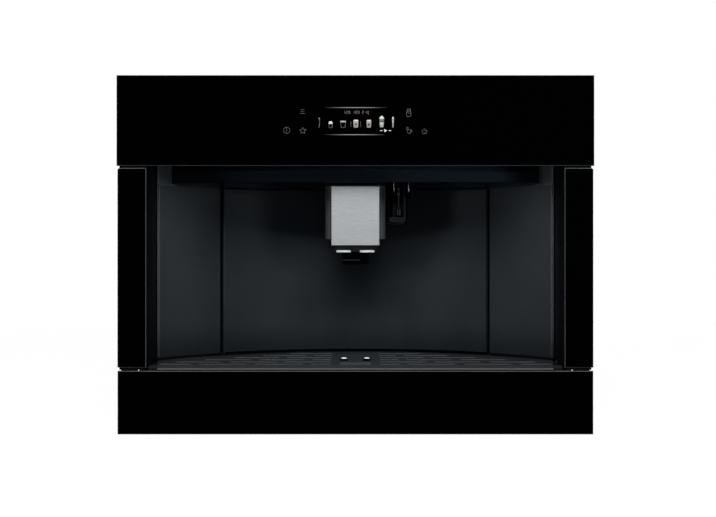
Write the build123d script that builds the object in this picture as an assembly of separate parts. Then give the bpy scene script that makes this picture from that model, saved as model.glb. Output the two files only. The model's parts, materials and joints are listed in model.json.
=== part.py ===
from build123d import *

import os
from math import asin, cos, hypot, radians, sin, sqrt

# Built-in coffee machine: a glass front with a curved niche, a hinged niche door
# that carries the height-adjustable spout, a drip drawer, and a body that pulls
# out of its cradle on telescopic runners.  Millimetres.  X is to the right, Y
# into the cabinet and Z up; the origin is below the middle of the whole machine.
# Depths are measured from the front face of the glass and called "depth" here.

# ---------------------------------------------------------------- main sizes
front_width = 596.3          # control panel, the widest piece
front_height = 448.3         # bottom edge of the drawer panel to the top edge
overall_depth = 475.0        # front glass to the heads of the rear screws
front_lift = 1.0             # front panels hang this far above the cradle's floor
glass = 4.0                  # thickness of every front glass
ground_edge = 0.6            # bevel ground round each glass
panel_gap = 3.0              # between the control panel and the side panels
drawer_gap = 4.2             # between the side panels and the drawer panel
control_height = 113.0       # control panel
drawer_height = 79.1         # drawer panel
side_inset = 1.15            # side panels within the control panel's width
drawer_inset = 1.3           # drawer panel within the control panel's width
side_panel_width = 35.7
side_corner = 2.5
panel_reveal = 0.3           # side glass to jamb
cabinet_overlap = 23.5       # side glass beyond the body, over the cabinet's edge
skin = 2.5                   # moulded walls
sheet = 1.5                  # cover sheet
cut = 1.0                    # how far a cutting tool runs past the face it leaves

# niche wall, a vertical cylinder about a line in front of the machine
wall_radius = 367.0
wall_corner_depth = 63.4     # where the wall meets the jambs
wall_thick = 6.0
seam_half = 184.4            # half distance between the two seams
seam_gap = 3.0
jamb_depth = 39.0
jamb_thick = 2.5
jamb_step = 1.2              # return behind the jamb, set back by this much

# hood and deck, from the control panel's lower edge
hood_drop = 18.7
hood_end_gap = 22.5          # hood's end to jamb
hood_front_depth = 30.0
hood_bow = 16.0              # how far the hood's ends lie behind its middle
hood_wall = 3.0
deck_rise = 11.7
deck_thick = 2.0

# drip drawer
grate_rise = 5.9             # grate above the drawer's glass
grate_thick = 4.0
grate_side_gap = 2.0
grate_front = 5.0
grate_wall_gap = 1.0         # grate to the niche wall, in plan
tray_side_gap = 9.0          # tray within the grate
tray_wall = 2.5
tray_floor = 10.2
tray_front = 12.3

# service door
door_gap_below = 4.3         # door to grate
door_gap_above = 1.0         # door to hood
wing_gap_below = 1.2
door_rib = 12.0              # ribs and edges behind the door skin
door_back_gap = 2.5          # ribs to the bay's floor
pin_radius = 1.5
pin_fit = 0.05

# cradle, runners and chassis
cradle_sheet = 1.8
runner_sheet = 1.5
runner_gap = 0.5
runner_low = 10.0
runner_high = 54.0
base_under = 6.0
base_sheet = 2.0
base_front = 16.0
base_flange = 60.0
rear_lip = 14.0              # upstands of the base and the deck behind the rear cover
cover_drop = 4.0             # top cover's underside below the front's top edge
screw_head = 2.0             # heads of the rear screws
bay_share = 0.535            # share of the depth behind the door that the bay takes

# ------------------------------------------------------------ worked out once
front_y = -overall_depth / 2
front_top = front_lift + front_height
control_bottom = front_top - control_height
drawer_top = front_lift + drawer_height
side_bottom = drawer_top + drawer_gap
side_top = control_bottom - panel_gap
side_outer = front_width / 2 - side_inset
drawer_half = front_width / 2 - drawer_inset
niche_half = side_outer - side_panel_width - panel_reveal
body_half = side_outer - cabinet_overlap
inside_half = body_half - sheet
cover_under = front_top - cover_drop
cover_top = cover_under + sheet
rear_outside = overall_depth - screw_head
rear_inside = rear_outside - sheet
hood_under = control_bottom - hood_drop
deck_under = control_bottom + deck_rise
deck_top = deck_under + deck_thick
grate_top = drawer_top + grate_rise
grate_under = grate_top - grate_thick
grate_half = niche_half - grate_side_gap
door_bottom = grate_top + door_gap_below
door_top = hood_under - door_gap_above
wing_bottom = grate_top + wing_gap_below
base_top = base_under + base_sheet
flange_top = base_flange + base_sheet

wall_centre_depth = wall_corner_depth - sqrt(wall_radius**2 - niche_half**2)
wall_centre_y = front_y + wall_centre_depth
wall_back = wall_radius + wall_thick
rib_back = wall_back + door_rib
seam_angle = asin(seam_half / wall_radius)
half_gap_angle = seam_gap / 2 / wall_radius
stile_radius = wall_thick / 2
hinge_polar = wall_radius + stile_radius
hinge_angle = -(seam_angle - half_gap_angle - stile_radius / hinge_polar)
hinge_x = hinge_polar * sin(hinge_angle)
hinge_depth = wall_centre_depth + hinge_polar * cos(hinge_angle)
hinge_y = front_y + hinge_depth


def wall_depth(x, radius=wall_radius):
    """Depth of the niche wall (or a cylinder concentric with it) at a given x."""
    return wall_centre_depth + sqrt(radius**2 - x**2)


def swing(x, depth):
    """Distance of a point in plan from the door's hinge axis."""
    return hypot(x - hinge_x, depth - hinge_depth)


bay_front_edge = wall_depth(0, rib_back + door_back_gap)
bay_back = bay_front_edge + bay_share * (rear_inside - bay_front_edge)
rear_middle = (bay_back + rear_inside) / 2


# ------------------------------------------------------------------- helpers
def block(x0, x1, d0, d1, z0, z1):
    """Box between two x, two depths and two heights."""
    middle = Pos((x0 + x1) / 2, front_y + (d0 + d1) / 2, (z0 + z1) / 2)
    return middle * Box(x1 - x0, d1 - d0, z1 - z0)


def post(radius, x, depth, z0, z1):
    """Upright cylinder."""
    return Pos(x, front_y + depth, (z0 + z1) / 2) * Cylinder(radius, z1 - z0)


def rod_along_y(radius, x, z, d0, d1):
    """Cylinder that runs front to back."""
    return Pos(x, front_y + (d0 + d1) / 2, z) * Rot(90, 0, 0) * Cylinder(radius, d1 - d0)


def rod_along_x(radius, depth, z, x0, x1):
    """Cylinder that runs left to right."""
    return Pos((x0 + x1) / 2, front_y + depth, z) * Rot(0, 90, 0) * Cylinder(radius, x1 - x0)


def drum(radius):
    """Tall cylinder concentric with the niche wall."""
    return Pos(0, wall_centre_y, front_top / 2) * Cylinder(radius, 2 * front_top)


def upright_edges(shape, axis, last, count=2):
    """The upright edges that lie furthest along an axis, or least far."""
    edges = shape.edges().filter_by(Axis.Z).sort_by(axis)
    return edges[-count:] if last else edges[:count]


def rounded(shape, radius):
    """A box with its upright edges rounded."""
    return fillet(shape.edges().filter_by(Axis.Z), radius)


def mirrored(shape):
    """The same shape on the other side of the machine."""
    return mirror(shape, about=Plane.YZ)


def both_sides(shape):
    """A shape and its mirror image."""
    return Compound([shape, mirrored(shape)])


def polar(radius, angle):
    """Point in plan on a cylinder about the niche centre; 0 is straight back."""
    return (radius * sin(angle), radius * cos(angle))


def wall_band(r_in, r_out, a0, a1, z0, z1):
    """Upright band of the niche wall between two radii and two angles."""
    middle = (a0 + a1) / 2
    edges = (
        ThreePointArc(polar(r_in, a0), polar(r_in, middle), polar(r_in, a1))
        + Line(polar(r_in, a1), polar(r_out, a1))
        + ThreePointArc(polar(r_out, a1), polar(r_out, middle), polar(r_out, a0))
        + Line(polar(r_out, a0), polar(r_in, a0))
    )
    return Pos(0, wall_centre_y, z0) * extrude(make_face(edges), amount=z1 - z0)


def plan_area(half, front_depth, radius, z0, z1):
    """Solid between a straight front, two straight sides and the wall cylinder."""
    return block(-half, half, front_depth, wall_depth(0) + wall_radius, z0, z1) & drum(radius)


def shell_box(x0, x1, d0, d1, z0, z1, wall, corner):
    """Open-topped tub with rounded upright corners and an even wall."""
    outside = rounded(block(x0, x1, d0, d1, z0, z1), corner)
    inside = block(x0 + wall, x1 - wall, d0 + wall, d1 - wall, z0 + wall, z1 + cut)
    return outside - rounded(inside, corner - wall)


parts = {}


def keep(name, shape):
    """Store one named piece of the machine."""
    parts[name] = shape


# ------------------------------------------------------- front glass and frame
def pane(x0, x1, z0, z1, round_top_outer=0):
    """Sheet of front glass with a ground edge round its face."""
    sheet_of_glass = block(x0, x1, 0, glass, z0, z1)
    if round_top_outer:
        corner = sheet_of_glass.edges().filter_by(Axis.Y).sort_by(Axis.X)[-2:].sort_by(Axis.Z)[-1:]
        sheet_of_glass = fillet(corner, round_top_outer)
    return chamfer(sheet_of_glass.faces().sort_by(Axis.Y)[0].edges(), ground_edge)


def control_panel_glass():
    return pane(-front_width / 2, front_width / 2, control_bottom, front_top)


def side_panel():
    return pane(niche_half + panel_reveal, side_outer, side_bottom, side_top, side_corner)


frame_inset = 1.5            # frame within the side glass
frame_sheet = 3.0
frame_gap = 1.0              # frame above the drawer's glass
frame_rim = 6.0
frame_header = 8.0
return_sheet = 1.5           # folded edge that closes the gap over the drawer
return_gap = 0.6
return_drop = 20.0
tab_width = 16.0
tab_length = 9.0
tab_thick = 2.0
tab_places = (-200.0, -70.0, 70.0, 200.0)
housing_front = glass + frame_sheet
frame_half = side_outer - frame_inset


def front_frame():
    """Steel frame behind the glass, with a return folded behind the drawer's carrier."""
    low = drawer_top + frame_gap
    high = front_top - frame_inset
    plate = block(-frame_half, frame_half, glass, housing_front, low, high)
    window_half = niche_half + jamb_thick
    plate -= block(-window_half, window_half, 0, 2 * housing_front, low - cut, deck_under)
    plate -= block(-body_half + frame_rim, body_half - frame_rim, 0, 2 * housing_front,
                   deck_top + frame_rim, high - frame_header)
    for x in tab_places:
        plate += block(x - tab_width / 2, x + tab_width / 2, housing_front, housing_front + tab_length,
                       high - frame_rim, high - frame_rim + tab_thick)
    back = glass + carrier_depth + return_gap + return_sheet
    shelf = block(body_half + frame_gap, frame_half, housing_front - cut, back, low, low + return_sheet)
    apron = block(body_half + frame_gap, frame_half, back - return_sheet, back, low - return_drop,
                  low + return_sheet)
    folded = shelf + apron
    return plate + folded + mirrored(folded)


housing_depth = 20.0
housing_side_gap = 3.0
housing_low_gap = 1.0
housing_high_gap = 4.0
housing_rib = 2.0
housing_rib_inset = 8.0
housing_ribs = (-180.0, -110.0, 110.0, 180.0)


def control_housing():
    """Shallow tub behind the control glass, ribbed on both sides of the display."""
    half = body_half - housing_side_gap
    low = deck_top + housing_low_gap
    high = cover_under - housing_high_gap
    back = housing_front + housing_depth
    tub = (block(-half, half, housing_front, back, low, high)
           - block(-half + skin, half - skin, housing_front - cut, back - skin, low + skin, high - skin))
    for x in housing_ribs:
        tub += block(x - housing_rib / 2, x + housing_rib / 2, housing_front + housing_rib_inset,
                     back - skin, low + skin, high - skin)
    return tub


display_half = 40.0
display_height = 28.0
display_rise = 39.7          # display's lower edge above the control glass's
display_thick = 4.0
can_rim = 3.0
can_depth = 2.5
board_half = 95.0
board_rim = 12.0
board_thick = 1.6
post_outer = 3.0
post_bore = 1.6
post_inset_x = 11.0
post_inset_z = 4.0
chip_height = 2.4
chips = ((-60.0, 9.0, 9.0), (-35.0, 22.0, 6.0), (50.0, 12.0, 11.0), (72.0, 24.0, 5.0))  # x, rise, half size


def display_module():
    """Display in its metal can, with the touch board behind it on four posts."""
    low = control_bottom + display_rise
    high = low + display_height
    window = block(-display_half, display_half, glass, glass + display_thick, low, high)
    can_back = glass + display_thick + can_depth
    can = block(-display_half - can_rim, display_half + can_rim, glass + display_thick, can_back,
                low - can_rim, high + can_rim)
    board = block(-board_half, board_half, can_back, can_back + board_thick, low - board_rim,
                  high + board_rim)
    posts_back = housing_front + housing_depth - skin
    for x in (-board_half + post_inset_x, board_half - post_inset_x):
        for z in (low - board_rim + post_inset_z, high + board_rim - post_inset_z):
            board += rod_along_y(post_outer, x, z, can_back + board_thick, posts_back)
            board -= rod_along_y(post_bore, x, z, can_back - cut, posts_back - skin)
    for x, rise, size in chips:
        board += block(x - size, x + size, can_back + board_thick, can_back + board_thick + chip_height,
                       low + rise - size / 2, low + rise + size / 2)
    return Compound([window + can, board])


jamb_flange = 2.0
jamb_lip = 6.0
jamb_clear = 0.3             # jamb's flange to the side cover
return_end = 0.8             # return stops this far past the wall's front corner


def jamb():
    """Moulded side of the niche: a jamb, its flange and the return behind it to the wall."""
    side = block(niche_half, niche_half + jamb_thick, glass, jamb_depth, side_bottom, deck_under)
    flange = block(niche_half, inside_half - jamb_clear, housing_front, housing_front + jamb_flange,
                   side_bottom + jamb_flange, deck_under)
    back_lip = block(niche_half, niche_half + jamb_lip, jamb_depth - jamb_flange, jamb_depth,
                     side_bottom, deck_under)
    behind = block(niche_half + jamb_step, niche_half + jamb_step + jamb_thick, jamb_depth - jamb_flange,
                   wall_depth(niche_half) + return_end, wing_bottom, deck_under)
    return side + flange + back_lip + behind


wing_rib = 6.0
wing_rib_angle = 0.008
wing_rib_lift = 8.0
skirt_gap = 2.0              # skirt above the chassis flange
strip_gap = 3.0              # seam strip behind the wall
strip_thick = 2.0
strip_reach = 0.022          # angle that the strip reaches behind the door's edge
strip_root = 0.02            # angle over which it is joined to the wing
bead_radius = 1.2
bead_inset = 1.4
wing_end_angle = asin(niche_half / wall_radius)


def niche_wing():
    """Fixed right-hand part of the curved wall.

    It has a skirt behind the grate, a rounded bead where it meets the jamb, two ribs
    and a strip that closes the seam from behind.
    """
    start = seam_angle + half_gap_angle
    wing = wall_band(wall_radius, wall_back, start, wing_end_angle, wing_bottom, deck_under)
    wing += wall_band(wall_radius + wall_thick / 2, wall_back, start, wing_end_angle,
                      flange_top + skirt_gap, wing_bottom + wall_thick / 2)
    for share in (0.35, 0.7):
        angle = start + (wing_end_angle - start) * share
        wing += wall_band(wall_back - skin / 5, wall_back + wing_rib, angle - wing_rib_angle / 2,
                          angle + wing_rib_angle / 2, wing_bottom + wing_rib_lift, deck_under)
    wing += wall_band(wall_back + strip_gap, wall_back + strip_gap + strip_thick,
                      seam_angle - strip_reach, start + strip_root, door_bottom, door_top)
    wing += wall_band(wall_back - skin / 5, wall_back + strip_gap + strip_thick,
                      start + strip_root / 2, start + strip_root, door_bottom, door_top)
    bead_x = niche_half - bead_inset
    return wing + post(bead_radius, bead_x, wall_depth(bead_x), wing_bottom, deck_under)


bracket_thick = 2.4
bracket_gap = 0.4
bracket_reach = 22.0
bracket_front = 4.0
bracket_back = 20.0
bracket_end = 3.0
bracket_tail = 30.0
bracket_clear = 0.3
bracket_top = door_bottom - bracket_gap


def hinge_bracket():
    """Plate under the door's corner that carries the lower pin, held by a web on the left wing."""
    low = bracket_top - bracket_thick
    plate = block(hinge_x - bracket_reach, hinge_x + bracket_end, hinge_depth - bracket_front,
                  hinge_depth + bracket_back, low, bracket_top)
    plate = fillet(upright_edges(plate, Axis.X, True), bracket_end - pin_radius / 3)
    tail = block(hinge_x - bracket_reach, hinge_x - bracket_reach / 3, hinge_depth + bracket_back - 2,
                 hinge_depth + bracket_back, low, low + bracket_tail)
    web = block(hinge_x - bracket_reach, hinge_x - bracket_reach + bracket_front, 0,
                hinge_depth + bracket_back, low + cut, low + bracket_tail)
    web -= drum(wall_radius + wall_thick / 2)
    return plate + tail + web - post(pin_radius, hinge_x, hinge_depth, low - cut, bracket_top + cut)


def niche_wing_left():
    """Left wing, cut clear of the lower hinge bracket under its corner."""
    room = block(hinge_x - bracket_reach - bracket_clear, hinge_x + bracket_end - cut,
                 hinge_depth - 2 * bracket_front, hinge_depth + bracket_back + bracket_reach,
                 bracket_top - bracket_thick - bracket_clear, bracket_top + bracket_clear)
    return mirrored(niche_wing()) - room + hinge_bracket()


# ------------------------------------------------------------------ niche hood
hood_half = niche_half - hood_end_gap
hood_radius = (hood_half**2 + hood_bow**2) / (2 * hood_bow)
hood_wall_gap = 0.6
hood_nose = 1.2
hood_end_angle = 0.01


def hood_drum(inset, z0, z1):
    """Everything behind the hood's bowed front face, moved back by an inset."""
    centre = front_y + hood_front_depth + hood_radius
    bow = Pos(0, centre, (z0 + z1) / 2) * Cylinder(hood_radius - inset, z1 - z0)
    return bow & block(-hood_half + inset, hood_half - inset, hood_front_depth, wall_depth(0) + hood_wall,
                       z0, z1)


def hood_cover():
    """Bowed tray that closes the niche above the spout, open to the deck."""
    limit = wall_radius - hood_wall_gap
    outside = hood_drum(0, hood_under, deck_under) & drum(limit)
    inside = hood_drum(hood_wall, hood_under + hood_wall, deck_under + cut) & drum(limit - hood_wall)
    end = seam_angle - hood_end_angle
    over_door = wall_band(limit - hood_wall, rib_back, -end, end, hood_under, hood_under + hood_wall)
    low_front = [edge for edge in outside.edges().filter_by(GeomType.CIRCLE)
                 if abs(edge.radius - hood_radius) < cut and edge.center().Z < hood_under + cut]
    outside = fillet(low_front, hood_nose)
    socket = post(pin_radius, hinge_x, hinge_depth, hood_under - cut, hood_under + hood_wall + cut)
    return outside - inside + over_door - socket


# -------------------------------------------------------- connector by the spout
connector_left = 45.0
connector_right = 66.0
connector_drop = 49.6        # lower edge below the hood
connector_front = 62.0
connector_back = 80.0
connector_bar = 6.6
connector_wall = 2.6
arm_left = 5.0               # arm behind the guard, from the guard's left edge
arm_rise = 6.0               # arm's underside above the guard's
nozzle_x = 57.3
steam_depth = 70.0
seat_radius = 4.6
seat_height = 4.0
drip_radius = 3.2
stem_radius = 1.9
stem_bore = 0.9
tip_radius = 5.0
tip_rise = 8.6
tip_height = 9.0
collar_radius = 3.4
collar_height = 3.0
collar_drop = 14.0
contact_radius = 1.3
contacts = ((connector_left + 6.0, 9.0), (connector_right + 4.0, 10.0))  # x, length
cover_left = 1.5             # wall cover within the guard's left edge
cover_right = 4.5            # and past its right edge
cover_drop_high = 12.6       # its upper edge below the hood
connector_bottom = hood_under - connector_drop


def connector_housing():
    """U-shaped guard round the nozzle, on an arm with a cover flush with the niche wall."""
    bar = block(connector_left, connector_right, connector_front, connector_back,
                connector_bottom, connector_bottom + connector_bar)
    bar = fillet(bar.edges().filter_by(Axis.Y).sort_by(Axis.Z)[:2], stem_radius)
    wall = block(connector_right - connector_wall, connector_right, connector_front, connector_back,
                 connector_bottom + stem_radius, hood_under)
    arm = block(connector_left + arm_left, connector_right, connector_back,
                wall_depth(connector_right, wall_radius + wall_thick / 2), connector_bottom + arm_rise,
                hood_under)
    cover = wall_band(wall_radius, wall_back, asin((connector_left + cover_left) / wall_radius),
                      asin((connector_right + cover_right) / wall_radius), connector_bottom,
                      hood_under - cover_drop_high)
    seat = post(seat_radius, nozzle_x, steam_depth, hood_under - seat_height, hood_under)
    link = block(nozzle_x - seat_height, nozzle_x + seat_height, steam_depth, connector_back + cut,
                 hood_under - seat_height, hood_under)
    drip = post(drip_radius, nozzle_x, steam_depth, connector_bottom - cut,
                connector_bottom + connector_bar + cut)
    bore = post(drip_radius / 3, nozzle_x, steam_depth, hood_under - seat_height - cut, hood_under + cut)
    return bar + wall + arm + cover + seat + link - drip - bore


def steam_nozzle():
    """Stem, collar and tip of the connector, bored through, with two contact pins."""
    tip_bottom = connector_bottom + tip_rise
    stem_top = hood_under - seat_height
    tip = post(tip_radius, nozzle_x, steam_depth, tip_bottom, tip_bottom + tip_height)
    tip = chamfer(tip.edges().filter_by(GeomType.CIRCLE), stem_bore)
    stem = post(stem_radius, nozzle_x, steam_depth, tip_bottom + tip_height / 2, stem_top)
    collar = post(collar_radius, nozzle_x, steam_depth, hood_under - collar_drop,
                  hood_under - collar_drop + collar_height)
    nozzle = stem + tip + collar - post(stem_bore, nozzle_x, steam_depth, tip_bottom - cut, hood_under)
    pins = []
    for x, length in contacts:
        pin = post(contact_radius, x, steam_depth, hood_under - length, hood_under)
        pins.append(fillet(pin.edges().sort_by(Axis.Z)[:1], contact_radius * 0.6))
    return Compound([nozzle] + pins)


# ---------------------------------------------------------------- service door
pin_in_door = 9.0
pin_end_gap = 1.0
door_edge_swing = 3.8        # free edge within the circle that clears the right wing
notch_clear = 0.9            # notch for the connector, around it
pin_notch_clear = 4.3        # wider part round the right contact pin
door_ribs = 6
rib_angle = 0.007
frame_start_angle = 0.03
frame_end_angle = 0.035
cross_rib_rise = 87.7
door_swing = 2 * seam_half - door_edge_swing
notch_near = swing(connector_left, connector_back) - notch_clear
notch_far = swing(connector_right, connector_front) + 2 * notch_clear
pin_x, pin_length = contacts[-1]
pin_notch_far = swing(pin_x, steam_depth) + contact_radius + pin_notch_clear


def hinge_ring(r_in, r_out, z0, z1):
    """Ring about the hinge axis, for cuts that the door swings past."""
    ring = Cylinder(r_out, z1 - z0) - Cylinder(r_in, z1 - z0)
    return Pos(hinge_x, hinge_y, (z0 + z1) / 2) * ring


def service_door():
    """Curved skin with a half-round hinge stile and a ribbed back, notched for the connector."""
    edge = seam_angle - half_gap_angle
    start = hinge_angle + frame_start_angle
    end = edge - frame_end_angle
    inner = wall_radius + cut
    body = wall_band(wall_radius, wall_back, hinge_angle, edge, door_bottom, door_top)
    frame = wall_band(inner, rib_back, start, end, door_bottom, door_top)
    hollow = wall_band(wall_back, rib_back + cut, start + skin / rib_back, end - skin / rib_back,
                       door_bottom + skin, door_top - skin)
    body += frame - hollow
    for i in range(1, door_ribs):
        angle = start + (end - start) * i / door_ribs
        body += wall_band(inner, rib_back, angle - rib_angle / 2, angle + rib_angle / 2,
                          door_bottom, door_top)
    body += wall_band(inner, rib_back, start, end, door_bottom + cross_rib_rise,
                      door_bottom + cross_rib_rise + skin)
    body += post(stile_radius, hinge_x, hinge_depth, door_bottom, door_top)
    body = body & (Pos(hinge_x, hinge_y, front_top / 2) * Cylinder(door_swing, 2 * front_top))
    body -= hinge_ring(notch_near, notch_far, connector_bottom - notch_clear, door_top + cut)
    body -= hinge_ring(notch_far - cut, pin_notch_far, hood_under - pin_length - 2 * notch_clear,
                       door_top + cut)
    for z0 in (door_bottom - cut, door_top - pin_in_door):
        body -= post(pin_radius + pin_fit, hinge_x, hinge_depth, z0, z0 + pin_in_door + cut)
    return body


def hinge_pins():
    """Lower pin in the bracket and upper pin in the hood, each reaching into the stile."""
    reach = pin_in_door - pin_end_gap
    low = post(pin_radius, hinge_x, hinge_depth, bracket_top - bracket_thick, door_bottom + reach)
    high = post(pin_radius, hinge_x, hinge_depth, door_top - reach, hood_under + hood_wall)
    return Compound([low, high])


# --------------------------------------------------------------------- spout
plate_half = 31.15
plate_front = 40.0
plate_thick = 2.0
plate_gap = 3.6              # plate below the hood
plate_height = 76.4
plate_fold = 1.2
plate_side = 12.0
column_half = 40.0
column_front = 70.0
column_drop = 71.5           # column's lower end below the hood
column_corner = 2.0
cheek = 7.2                  # column beside the channel
column_floor = 4.0
guide_clear = 0.4
tongue_depth = 26.0
tongue_drop = 4.0            # tongue below the column
head_gap = 1.0               # head below the plate's upper edge
taper_height = 8.6
taper_draft = 3.0
core_floor = 10.0
lens_inner = 6.0
lens_outer = 24.5
lens_front = 47.5
lens_thick = 4.0
lens_height = 3.0
lens_below = 0.6
nozzle_half = 18.0
nozzle_height = 16.5
nozzle_front = 53.0
nozzle_back = 76.0
nozzle_corner = 4.0
nozzle_edge = 1.5
groove_width = 1.2
groove_depth = 0.7
groove_rise = 5.1
outlet_radius = 3.0
outlet_offset = 10.0
outlet_depth = 64.0
plate_top = hood_under - plate_gap
plate_bottom = plate_top - plate_height
column_bottom = hood_under - column_drop
spout_bottom = plate_bottom - taper_height
nozzle_bottom = spout_bottom - nozzle_height


def spout_column():
    """Channel on the door in which the spout slides."""
    outside = block(-column_half, column_half, column_front, wall_depth(0) + cut, column_bottom, door_top)
    outside = fillet(upright_edges(outside, Axis.Y, False), column_corner)
    channel_half = column_half - cheek
    channel_back = column_front + tongue_depth + guide_clear
    channel = block(-channel_half, channel_half, column_front - cut, channel_back, column_bottom - cut,
                    door_top + cut)
    hollow = block(-channel_half, channel_half, channel_back + hood_wall, wall_depth(0) + 2 * cut,
                   column_bottom + column_floor, door_top - column_floor)
    return (outside & drum(wall_radius)) - channel - hollow


def outlets(z0, z1):
    """Bores of the two coffee outlets."""
    return both_sides(post(outlet_radius, outlet_offset, outlet_depth, z0, z1))


def spout_body():
    """Spout housing: head behind the steel plate, guide tongue and tapered lower end."""
    head_half = plate_half - plate_fold
    head_top = plate_top - head_gap
    tongue_half = column_half - cheek - guide_clear
    head = block(-head_half, head_half, plate_front + plate_thick, column_front + cut, plate_bottom, head_top)
    tongue = block(-tongue_half, tongue_half, column_front - cut, column_front + tongue_depth,
                   column_bottom - tongue_drop, head_top)
    middle = front_y + (plate_front + column_front) / 2
    depth = column_front - plate_front - taper_draft
    upper = Plane.XY.offset(plate_bottom) * Pos(0, middle + taper_draft / 2) * Rectangle(
        2 * head_half, depth)
    lower = Plane.XY.offset(spout_bottom) * Pos(0, middle + taper_draft) * Rectangle(
        2 * (head_half - taper_draft), depth - 3 * taper_draft)
    body = head + tongue + loft([lower, upper])
    core = block(-head_half + skin, head_half - skin, plate_front + plate_thick + skin,
                 column_front + tongue_depth - 3 * skin, plate_bottom + core_floor, head_top - skin)
    body = body - core - outlets(spout_bottom - cut, plate_bottom + core_floor + cut)
    seat = block(lens_inner, lens_outer, lens_front, lens_front + lens_thick, spout_bottom - cut,
                 spout_bottom - lens_below + lens_height)
    return body - both_sides(seat)


def spout_lenses():
    """Two clear light bars at the front of the spout's lower end."""
    low = spout_bottom - lens_below
    return both_sides(block(lens_inner, lens_outer, lens_front, lens_front + lens_thick, low,
                            low + lens_height))


def spout_front_plate():
    """Steel plate with both sides folded back over the head."""
    plate = block(-plate_half, plate_half, plate_front, plate_front + plate_thick, plate_bottom, plate_top)
    side = block(plate_half - plate_fold, plate_half, plate_front, plate_front + plate_side,
                 plate_bottom, plate_top)
    folded = plate + side + mirrored(side)
    return fillet(upright_edges(folded, Axis.Y, False), plate_fold - 0.2)


def spout_nozzle_block():
    """Twin outlet block with a parting groove round it."""
    body = rounded(block(-nozzle_half, nozzle_half, nozzle_front, nozzle_back, nozzle_bottom, spout_bottom),
                   nozzle_corner)
    body = fillet(body.faces().sort_by(Axis.Z)[0].edges(), nozzle_edge)
    z0 = nozzle_bottom + groove_rise
    z1 = z0 + groove_width
    ring = block(-nozzle_half - cut, nozzle_half + cut, nozzle_front - cut, nozzle_back + cut, z0, z1)
    core = block(-nozzle_half + groove_depth, nozzle_half - groove_depth, nozzle_front + groove_depth,
                 nozzle_back - groove_depth, z0 - cut, z1 + cut)
    groove = ring - rounded(core, nozzle_corner - groove_depth)
    return body - groove - outlets(nozzle_bottom - cut, spout_bottom + cut)


# ---------------------------------------------------------------- drip drawer
carrier_depth = 8.0
carrier_inset = 5.0
carrier_top_gap = 3.0
carrier_web = 2.0            # half width of the webs between its pockets
carrier_pockets = 8


def drawer_panel_glass():
    return pane(-drawer_half, drawer_half, front_lift, drawer_top)


def drawer_panel_carrier():
    """Ribbed plate between the drawer's glass and the drip tray."""
    half = drawer_half - carrier_inset
    low = front_lift + carrier_inset - cut
    high = drawer_top - carrier_top_gap
    plate = block(-half, half, glass, glass + carrier_depth, low, high)
    pitch = 2 * half / carrier_pockets
    for i in range(carrier_pockets):
        x0 = -half + i * pitch
        plate -= block(x0 + carrier_web, x0 + pitch - carrier_web, glass + skin, glass + carrier_depth + cut,
                       low + skin, high - skin)
    return plate


rim_margin = 8.0
rim_gap = 1.5                # tray's rim within the grate
rim_wall_gap = 4.0           # rim to the niche wall
tub_wall_gap = 12.0          # tub to the niche wall
tray_ribs = (-125.0, 0.0, 125.0)
tray_rib = 2.4
tray_rib_drop = 12.0
float_half = 9.0
float_front = 18.0
float_back = 34.0
float_height = 22.0
float_gap = 0.3
float_well_gap = 1.5
float_top_gap = 1.5
tongue_half = 6.0
tongue_thick = 3.0
nose_height = 2.7            # bevel along the front of the grate and the pads
pad_width = 10.5             # tray's corner pads, which fill the grate's cut front corners
pad_length = 53.0
pad_gap = 0.3
pad_height = 7.5


def corner_wedge(width, past, z0, z1):
    """Triangle in plan in the grate's right front corner, run past both faces by an amount."""
    slope = pad_length / pad_width
    plan = make_face(Polyline(
        (grate_half - width - past / slope, grate_front - past),
        (grate_half + past, grate_front - past),
        (grate_half + past, grate_front + (width + past) * slope),
        close=True,
    ))
    return Pos(0, front_y, z0) * extrude(plan, amount=z1 - z0)


def corner_pads():
    """Two pads that fill the grate's cut corners, with the grate's bevel along their front."""
    pad = corner_wedge(pad_width, 0, grate_top - pad_height, grate_top)
    pad = chamfer(pad.edges().filter_by(Axis.X).sort_by(Axis.Z)[-1:], nose_height)
    return pad, mirrored(pad)


def drip_tray():
    """Catch tray with a curved back, a wider rim, corner pads and a well for the float."""
    half = grate_half - tray_side_gap
    rim_half = grate_half - rim_gap
    rim_low = grate_under - rim_margin
    tub_radius = wall_radius - tub_wall_gap
    rim_radius = wall_radius - rim_wall_gap
    tray = (plan_area(half, tray_front, tub_radius, tray_floor, rim_low)
            + plan_area(rim_half, tray_front, rim_radius, rim_low - skin, grate_under))
    tray -= plan_area(half - tray_wall, tray_front + tray_wall, tub_radius - tray_wall,
                      tray_floor + tray_wall, grate_top)
    tray -= plan_area(rim_half - tray_wall, tray_front + tray_wall, rim_radius - tray_wall, rim_low,
                      grate_top)
    for x in tray_ribs:
        tray += block(x - tray_rib / 2, x + tray_rib / 2, tray_front + cut,
                      wall_depth(x, tub_radius - tray_wall + cut), tray_floor + cut, rim_low - tray_rib_drop)
    well = block(-float_half - float_well_gap, float_half + float_well_gap, float_front - float_well_gap,
                 float_back + float_well_gap, tray_floor + tray_wall, grate_under)
    right, left = corner_pads()
    return tray - well + right + left


slot_width = 7.5
slot_pitch = 25.0
slot_length = 62.0
slot_bar = 9.0
slot_margin = 9.0            # slots to the grate's curved edge
slot_side_margin = 10.0
first_slot_depth = 21.0
field_half = 31.0            # plain centre of the grate
front_slot_inset = 10.0
front_slots = 2
grate_rim = 5.0
grate_front_rim = 12.0
grate_skin = 2.2             # plate over the hollow underside
grate_rib = 2.4
grate_rib_drop = 2.0
lip_thick = 2.5
lip_drop = 1.1               # lip below the plate
lip_round = 0.4
stud_radius = 5.4
stud_side = 1.6
stud_clear = 0.3             # studs below the swinging door
stud_offset = 15.0
stud_peg = 2.5


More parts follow.
